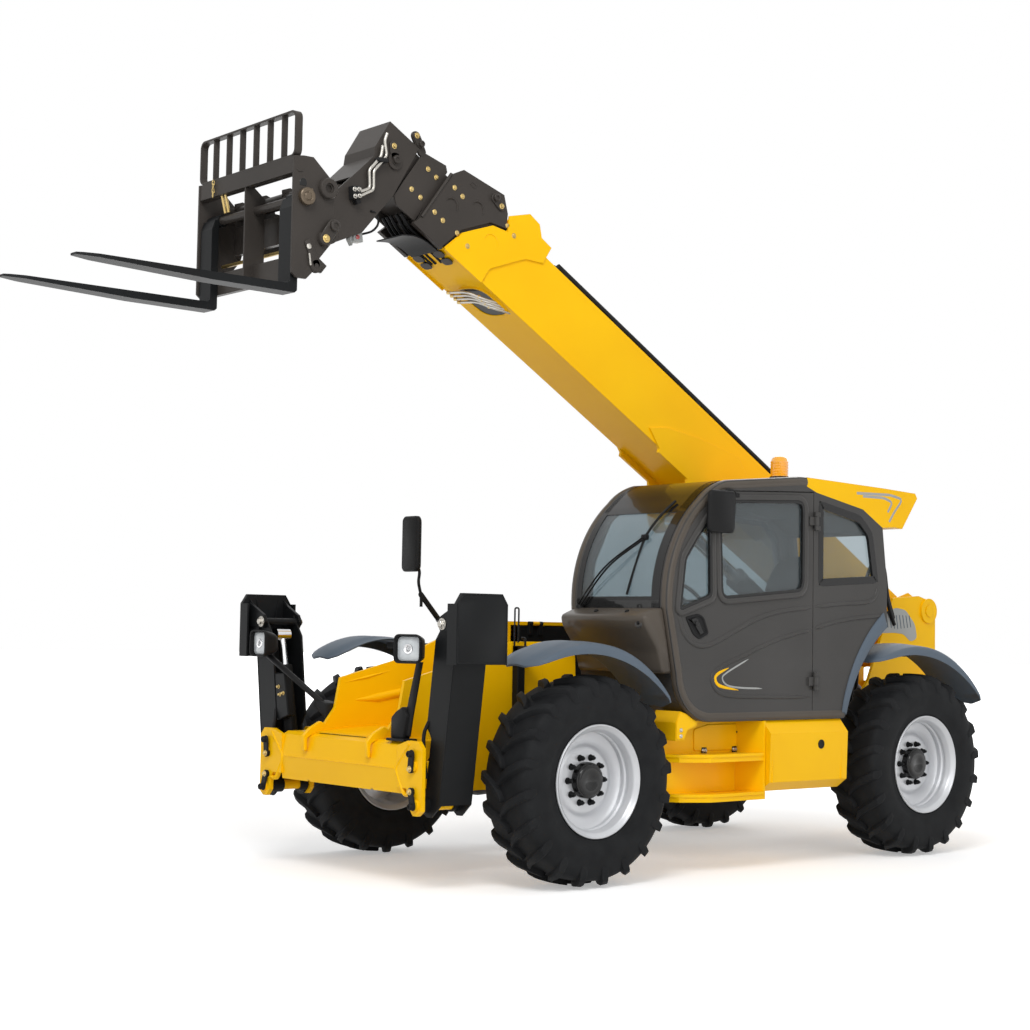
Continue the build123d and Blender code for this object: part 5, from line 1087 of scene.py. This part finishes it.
def mirrors_and_beacon():
    """Soft-edged mirror heads on bent tubes, and the ribbed beacon."""
    tube = moved([(1.22, -1.06, 1.96), (1.186, -1.04, 1.9), (1.2, -1.04, 1.82), (1.171, -1.04, 1.722),
                  (1.171, -1.04, 1.65)])
    right = [plate(box_outline((-1.198, 1.892), (-1.012, 2.278)), 0.04, front_at, 1.192, 1.238, 0.014, 6),
             pipe(bent_line(tube, 0.03), 0.011, 12),
             slab(stadium((1.175, 1.735), (1.01, 1.56), 0.02), side_at, -1.046, -1.034),
             rod(moved([(1.33, -0.344, 1.4), (1.02, -1.046, 1.562)]), 0.014, 14, 0.002),
             brick(moved([(1.3, -0.362, 1.37), (1.36, -0.3425, 1.424)]))]
    piece("right_mirror", right, "black_plastic", smooth=55, stands_for=["mirrors"])
    glass = plate(box_outline((-1.186, 1.906), (-1.024, 2.264)), 0.032, front_at, 1.1905, 1.1935, 0.001, 6)
    piece("right_mirror_glass", glass, "chrome")
    shape = [(0.41, 2.13), (0.642, 2.13), (0.65, 2.19), (0.64, 2.398), (0.412, 2.398), (0.4, 2.35)]
    ball = [(-0.012, 0.01), (-0.008, 0.018), (0.0, 0.022), (0.008, 0.018), (0.012, 0.01)]
    bent = moved([(0.355, 1.15, 2.377), (0.38, 1.156, 2.404), (0.455, 1.17, 2.408), (0.5, 1.176, 2.38)])
    left = [plate(shape, 0.04, side_at, 1.165, 1.202, 0.014, 6),
            turned(ball, moved((0.54, 1.18, 2.262)), LEFTWARDS, 18),
            brick(moved([(0.33, 1.1405, 2.362), (0.38, 1.157, 2.392)])), pipe(bent_line(bent, 0.02), 0.008)]
    piece("left_mirror", left, "black_plastic", "door", 55, ["door_mirror"])
    base = moved((-0.55, 0.7, 2.532))
    lens = [(0.04, 0.0)]
    for low in 0.019 * np.arange(6):
        lens += [(low + 0.042, 0.06), (low + 0.052, 0.061), (low + 0.054, 0.0585)]
    lens += [(0.168, 0.052), (0.18, 0.036), (0.186, 0.0)]
    piece("beacon_lens", turned(lens, base, UPWARDS, 40), "amber", smooth=50, stands_for=["beacon"])
    foot = [(0, 0.0), (0, 0.078), (0.01, 0.08), (0.022, 0.078), (0.03, 0.07), (0.044, 0.066), (0.044, 0.0)]
    piece("beacon_base", turned(foot, base, UPWARDS, 40), "black_plastic")


def rear_trim():
    """Striped grey patch on the boom's cradle, hoses behind the cab, rear lamps and tow pin."""
    patch = [(-2.1, 1.672), (-2.265, 1.718), (-2.378, 1.702), (-2.492, 1.597), (-2.516, 1.49),
             (-2.441, 1.462), (-2.353, 1.522), (-2.238, 1.53), (-2.08, 1.524)]
    piece("cradle_patch", plate(patch, 0.03, side_at, RAIL_OUTSIDE, 0.3445, 0.001, 5), "light_grey")
    bars = [stadium((x, 1.56 + 0.1 * abs(x + 2.28)), (x + 0.02, 1.66), 0.004, 4)
            for x in np.linspace(-2.44, -2.13, 9)]
    bars = [slab(bar, side_at, 0.344, 0.3458, 0.0006) for bar in bars]
    piece("cradle_patch_grid", bars, "fender")
    runs = [[(-1.74, 0.34, 0.95), (-1.745, 0.372, 1.3), (-1.775, 0.4, 1.7), (-1.853, 0.425, 2.0),
             (-1.951, 0.435, 2.055), (-2.021, 0.425, 1.995), (-2.1, 0.395, 1.8), (-2.225, 0.35, 1.64)],
            [(-1.79, 0.34, 0.95), (-1.795, 0.368, 1.3), (-1.82, 0.392, 1.68), (-1.88, 0.408, 1.915),
             (-1.979, 0.412, 1.96), (-2.055, 0.402, 1.86), (-2.12, 0.385, 1.74), (-2.235, 0.35, 1.59)]]
    hoses = [pipe(smooth_line(moved(run), 7), 0.014, 12) for run in runs]
    hoses.append(brick(moved([(-1.82, 0.33, 0.9545), (-1.71, 0.36, 0.985)])))
    piece("rear_hoses", hoses, "black_plastic")
    for name, finish, span, ahead, low, high, ease in (  # y from and to, x and height from and to
        ("rear_lamp_cases", "black_plastic", (0.34, 0.46), (-2.77, -2.748), 1.02, 1.13, 0.008),
        ("rear_lamp_red", "red_lens", (0.346, 0.396), (-2.776, -2.768), 1.028, 1.122, 0.004),
        ("rear_lamp_amber", "amber", (0.404, 0.454), (-2.776, -2.768), 1.028, 1.122, 0.004),
    ):
        pair = [brick(moved([(ahead[0], near, low), (ahead[1], far, high)]), ease)
                for near, far in (span, (-span[1], -span[0]))]
        piece(name, pair, finish)
    pin = [(0, 0.0), (0, 0.0145), (0.19, 0.0145), (0.19, 0.024), (0.2, 0.026), (0.206, 0.02), (0.206, 0.0)]
    piece("tow_pin", turned(pin, moved((-2.791, 0, 0.63)), UPWARDS, 24), "zinc")


def hood_trim():
    """Louvres, seams and catches on the engine hood's outer side."""
    place = on_side(-1)
    slats = [slab(stadium((-0.56, z), (0.24, z), 0.008, 6), place, 1.1485, 1.156)
             for z in np.arange(1.08, 1.36, 0.035)]
    piece("hood_louvres", slats, "black_plastic", "engine_lid")
    seams = [bead([(x, 1.01), (x, 1.2), (x, 1.375)], place, 1.15, 0.004, 0.003, 0.0)
             for x in (-0.65, 0.33, 0.8)]
    piece("hood_seams", seams, "yellow", "engine_lid", 50)
    catches = [brick(moved([(x - 0.03, -1.162, 1.012), (x + 0.03, -1.149, 1.06)])) for x in (-0.45, 0.55)]
    piece("hood_catches", catches, "black_plastic", "engine_lid")


STEERING_RADIUS = 0.178


def cushion(low, high, bowed):
    """Crowned closed pad between two corners: a superellipsoid |x|^n + |y|^n + |z|^m = 1 with n = 4
    and m = 2.4, whose top falls by the share "bowed" towards both ends, with two sewn channels."""
    low, high = np.asarray(low, float), np.asarray(high, float)
    lat = np.linspace(-np.pi / 2, np.pi / 2, 25)[1:-1]
    lon = np.linspace(0, TAU, 64, endpoint=False)
    power = lambda value, n: np.sign(value) * np.abs(value) ** n
    ring = np.stack([power(np.cos(lon), 0.5), power(np.sin(lon), 0.5)], axis=1)
    across = power(np.cos(lat), 0.55)[:, None, None] * ring[None]
    up = np.broadcast_to(power(np.sin(lat), 0.8)[:, None], across.shape[:2])
    channel = 1 - 0.1 * np.exp(-((np.abs(across[..., 1]) - 0.45) / 0.05) ** 2) * np.clip(up, 0, 1)
    height = up * channel * (1 - bowed * np.abs(across[..., 0]) ** 2)
    points = np.concatenate([np.dstack([across, height]).reshape(-1, 3), [(0, 0, -1.0), (0, 0, 1.0)]])
    rows, columns = len(lat), len(lon)
    south, last = rows * columns, (rows - 1) * columns
    faces = grid_faces(rows, columns, False)
    faces += [face for i in range(columns) for face in (
        [south, (i + 1) % columns, i], [south + 1, last + i, last + (i + 1) % columns])]
    return points * (high - low) / 2 + (low + high) / 2, faces


def cab_fittings():
    """Floor, console, seat's foot, armrests and steering column, for the plain solid."""
    console = [(0.56, 1.078), (0.735, 1.18), (0.812, 1.56), (0.795, 1.622), (0.565, 1.632), (0.525, 1.5),
               (0.435, 1.078)]
    armrest = [(-0.52, 1.3), (-0.14, 1.3), (0.02, 1.5), (-0.02, 1.56), (-0.52, 1.54)]
    foot = [(-0.64, 1.076), (-0.6, 1.29), (-0.18, 1.29), (-0.13, 1.076)]
    shapes = [
        slab([(0.56, 1.002), (0.56, 1.078), (-0.69, 1.078), (-0.562, 1.002)], side_at, 0.312, 1.098, 0.004),
        plate(console, 0.03, side_at, 0.425, 0.955, 0.02, 5), plate(foot, 0.02, side_at, 0.5, 0.88, 0.015),
        plate(armrest, 0.03, side_at, 0.945, 1.02, 0.012),
        plate(armrest, 0.03, side_at, 0.345, 0.43, 0.012),
        rod(moved([(0.59, 0.69, 1.5), (0.385, 0.69, 1.695)]), 0.03, 20, 0.004)]
    piece("cab_fittings", shapes, "black_plastic", smooth=45, stands_for=["cab_interior"])


def steering_wheel():
    """Steering wheel, tilted by 45 degrees, and two levers."""
    tilt, hub = unit((-1, 0, 1)), moved((0.372, 0.69, 1.708))
    u, v = square_to(tilt)
    t = np.linspace(0, TAU, 49)[:, None]
    ring = hub + STEERING_RADIUS * (np.cos(t) * u + np.sin(t) * v)
    shapes = [pipe(np.concatenate([ring, ring[1:3]]), 0.013, 12),
              turned([(-0.015, 0.034), (0.012, 0.034), (0.018, 0.026), (0.018, 0.0)], hub, tilt, 24)]
    shapes += [rod([hub + 0.02 * side, hub + 0.17 * side], 0.01, 10) for side in (u, -u, -v)]
    grip = [(-0.02, 0.012), (0.0, 0.019), (0.028, 0.016), (0.036, 0.006)]
    for x in (-0.06, 0.01):
        foot, top = moved([(x - 0.03, 0.385, 1.55), (x + 0.03, 0.385, 1.69)])
        shapes += [rod([foot, top], 0.007, 10), turned(grip, top, (0.2, 0, 1), 16)]
    piece("steering_wheel", shapes, "gloss_black", smooth=50)


def seat():
    """Padded cushion, and a backrest that leans back and bulges forwards half way up."""
    shape = cushion(moved((-0.64, 0.47, 1.285)), moved((-0.12, 0.91, 1.432)), 0.1)
    seat = piece("seat_cushion", shape, "seat", smooth=80)
    points, faces = cushion((-0.06, 0.47, 0.0), (0.06, 0.91, 0.6), 0.0)
    share = np.clip(points[:, 2] / 0.6, 0, 1)
    points[:, 0] = points[:, 0] * (1.15 - 0.35 * share) - 0.15 * share + 0.018 * np.sin(np.pi * share)
    back = piece("seat_backrest", (points + moved((-0.615, 0, 1.44)), faces), "seat", smooth=80)


# ---- floor, light and camera -----------------------------------------------------------------------
AMBIENT = 0.55
FLOOR_GLOW = 0.36, 1.2       # under the machine and far from it
GLOW_REACH = 4.0, 12.0       # distances between which the one goes over to the other
LIGHTS = [  # name, place, size, watts
    ("key", (8, 7, 12), 5, 1000), ("fill", (3, 13, 6), 8, 330), ("back", (-11, -6, 9), 7, 330),
]
LIT_POINT = 0, 0, 1.5
CAMERA_PLACE, CAMERA_TARGET = (8.211, 9.351, 1.507), (-0.156, -0.567, 2.292)
CAMERA_ROLL = 0.0174
FOCAL_LENGTH = 65.95


def combine(tree, operation, first, second):
    """A math node's sum or product of two outputs, kept between 0 and 1 if it is a sum."""
    node = tree.nodes.new("ShaderNodeMath")
    node.operation = operation
    node.use_clamp = operation == "ADD"
    tree.links.new(first, node.inputs[0])
    tree.links.new(second, node.inputs[1])
    return node.outputs["Value"]


def map_range(tree, value, source, target):
    """An output carried from one span of values to another."""
    node = tree.nodes.new("ShaderNodeMapRange")
    for socket, number in zip(("From Min", "From Max", "To Min", "To Max"), (*source, *target)):
        node.inputs[socket].default_value = number
    tree.links.new(value, node.inputs["Value"])
    return node.outputs["Result"]


def seen_directly(tree, otherwise, seen):
    """A strength of "seen" for rays from the camera, or by way of a reflection or a pane, and
    "otherwise" for the light that falls on the machine."""
    path = tree.nodes.new("ShaderNodeLightPath")
    total = path.outputs["Is Camera Ray"]
    for kind in ("Is Glossy Ray", "Is Transmission Ray"):
        total = combine(tree, "ADD", total, path.outputs[kind])
    return map_range(tree, total, (0.0, 1.0), (otherwise, seen))


def floor_and_light():
    """Pale floor that runs to a pale surround, and three soft lamps."""
    bpy.ops.mesh.primitive_plane_add(size=160)
    floor = bpy.context.object
    floor.name = "floor"
    material, tree, shader = principled("floor_white", (0.86, 0.86, 0.86), 0.9)
    spot = tree.nodes.new("ShaderNodeTexCoord")
    reach = tree.nodes.new("ShaderNodeVectorMath")
    reach.operation = "LENGTH"
    tree.links.new(spot.outputs["Object"], reach.inputs[0])
    far = map_range(tree, reach.outputs["Value"], GLOW_REACH, FLOOR_GLOW)
    glow = combine(tree, "MULTIPLY", far, seen_directly(tree, 0.0, 1.0))
    tree.links.new(glow, shader.inputs["Emission Strength"])
    shader.inputs["Emission Color"].default_value = (1, 1, 1, 1)
    floor.data.materials.append(material)
    world = bpy.data.worlds.new("surround")
    bpy.context.scene.world = world
    world.use_nodes = True
    sky = world.node_tree.nodes["Background"]
    sky.inputs["Color"].default_value = (1, 1, 1, 1)
    world.node_tree.links.new(seen_directly(world.node_tree, AMBIENT, 1.0), sky.inputs["Strength"])
    for name, place, size, power in LIGHTS:
        light = bpy.data.lights.new(name, "AREA")
        light.size = size
        light.energy = power
        holder = bpy.data.objects.new(name, light)
        bpy.context.scene.collection.objects.link(holder)
        holder.location = place
        holder.rotation_euler = (Vector(LIT_POINT) - Vector(place)).to_track_quat("-Z", "Y").to_euler()


def camera():
    """Long lens at standing height, a little below the cab roof, looking slightly up."""
    lens = bpy.data.cameras.new("camera")
    lens.lens = FOCAL_LENGTH
    lens.sensor_width = 36
    lens.clip_end = 500
    holder = bpy.data.objects.new("camera", lens)
    bpy.context.scene.collection.objects.link(holder)
    place = Vector(CAMERA_PLACE)
    holder.location = place
    holder.rotation_mode = "QUATERNION"
    look = (Vector(CAMERA_TARGET) - place).to_track_quat("-Z", "Y")
    holder.rotation_quaternion = look @ Quaternion((0, 0, 1), CAMERA_ROLL)
    bpy.context.scene.camera = holder


wheels()
cab_frame()
pane_borders()
door_dress()
cab_outside()
boom_sides()
boom_underside()
head_plumbing()
carriage_dress()
nose_dress()
lamps()
stabiliser_dress("left", 1)
stabiliser_dress("right", -1)
leg_valve()
mudguards()
cowl_and_nose_cover()
steps_and_box()
mirrors_and_beacon()
rear_trim()
hood_trim()
cab_fittings()
steering_wheel()
seat()
floor_and_light()
camera()
bpy.context.scene.view_settings.view_transform = "Standard"
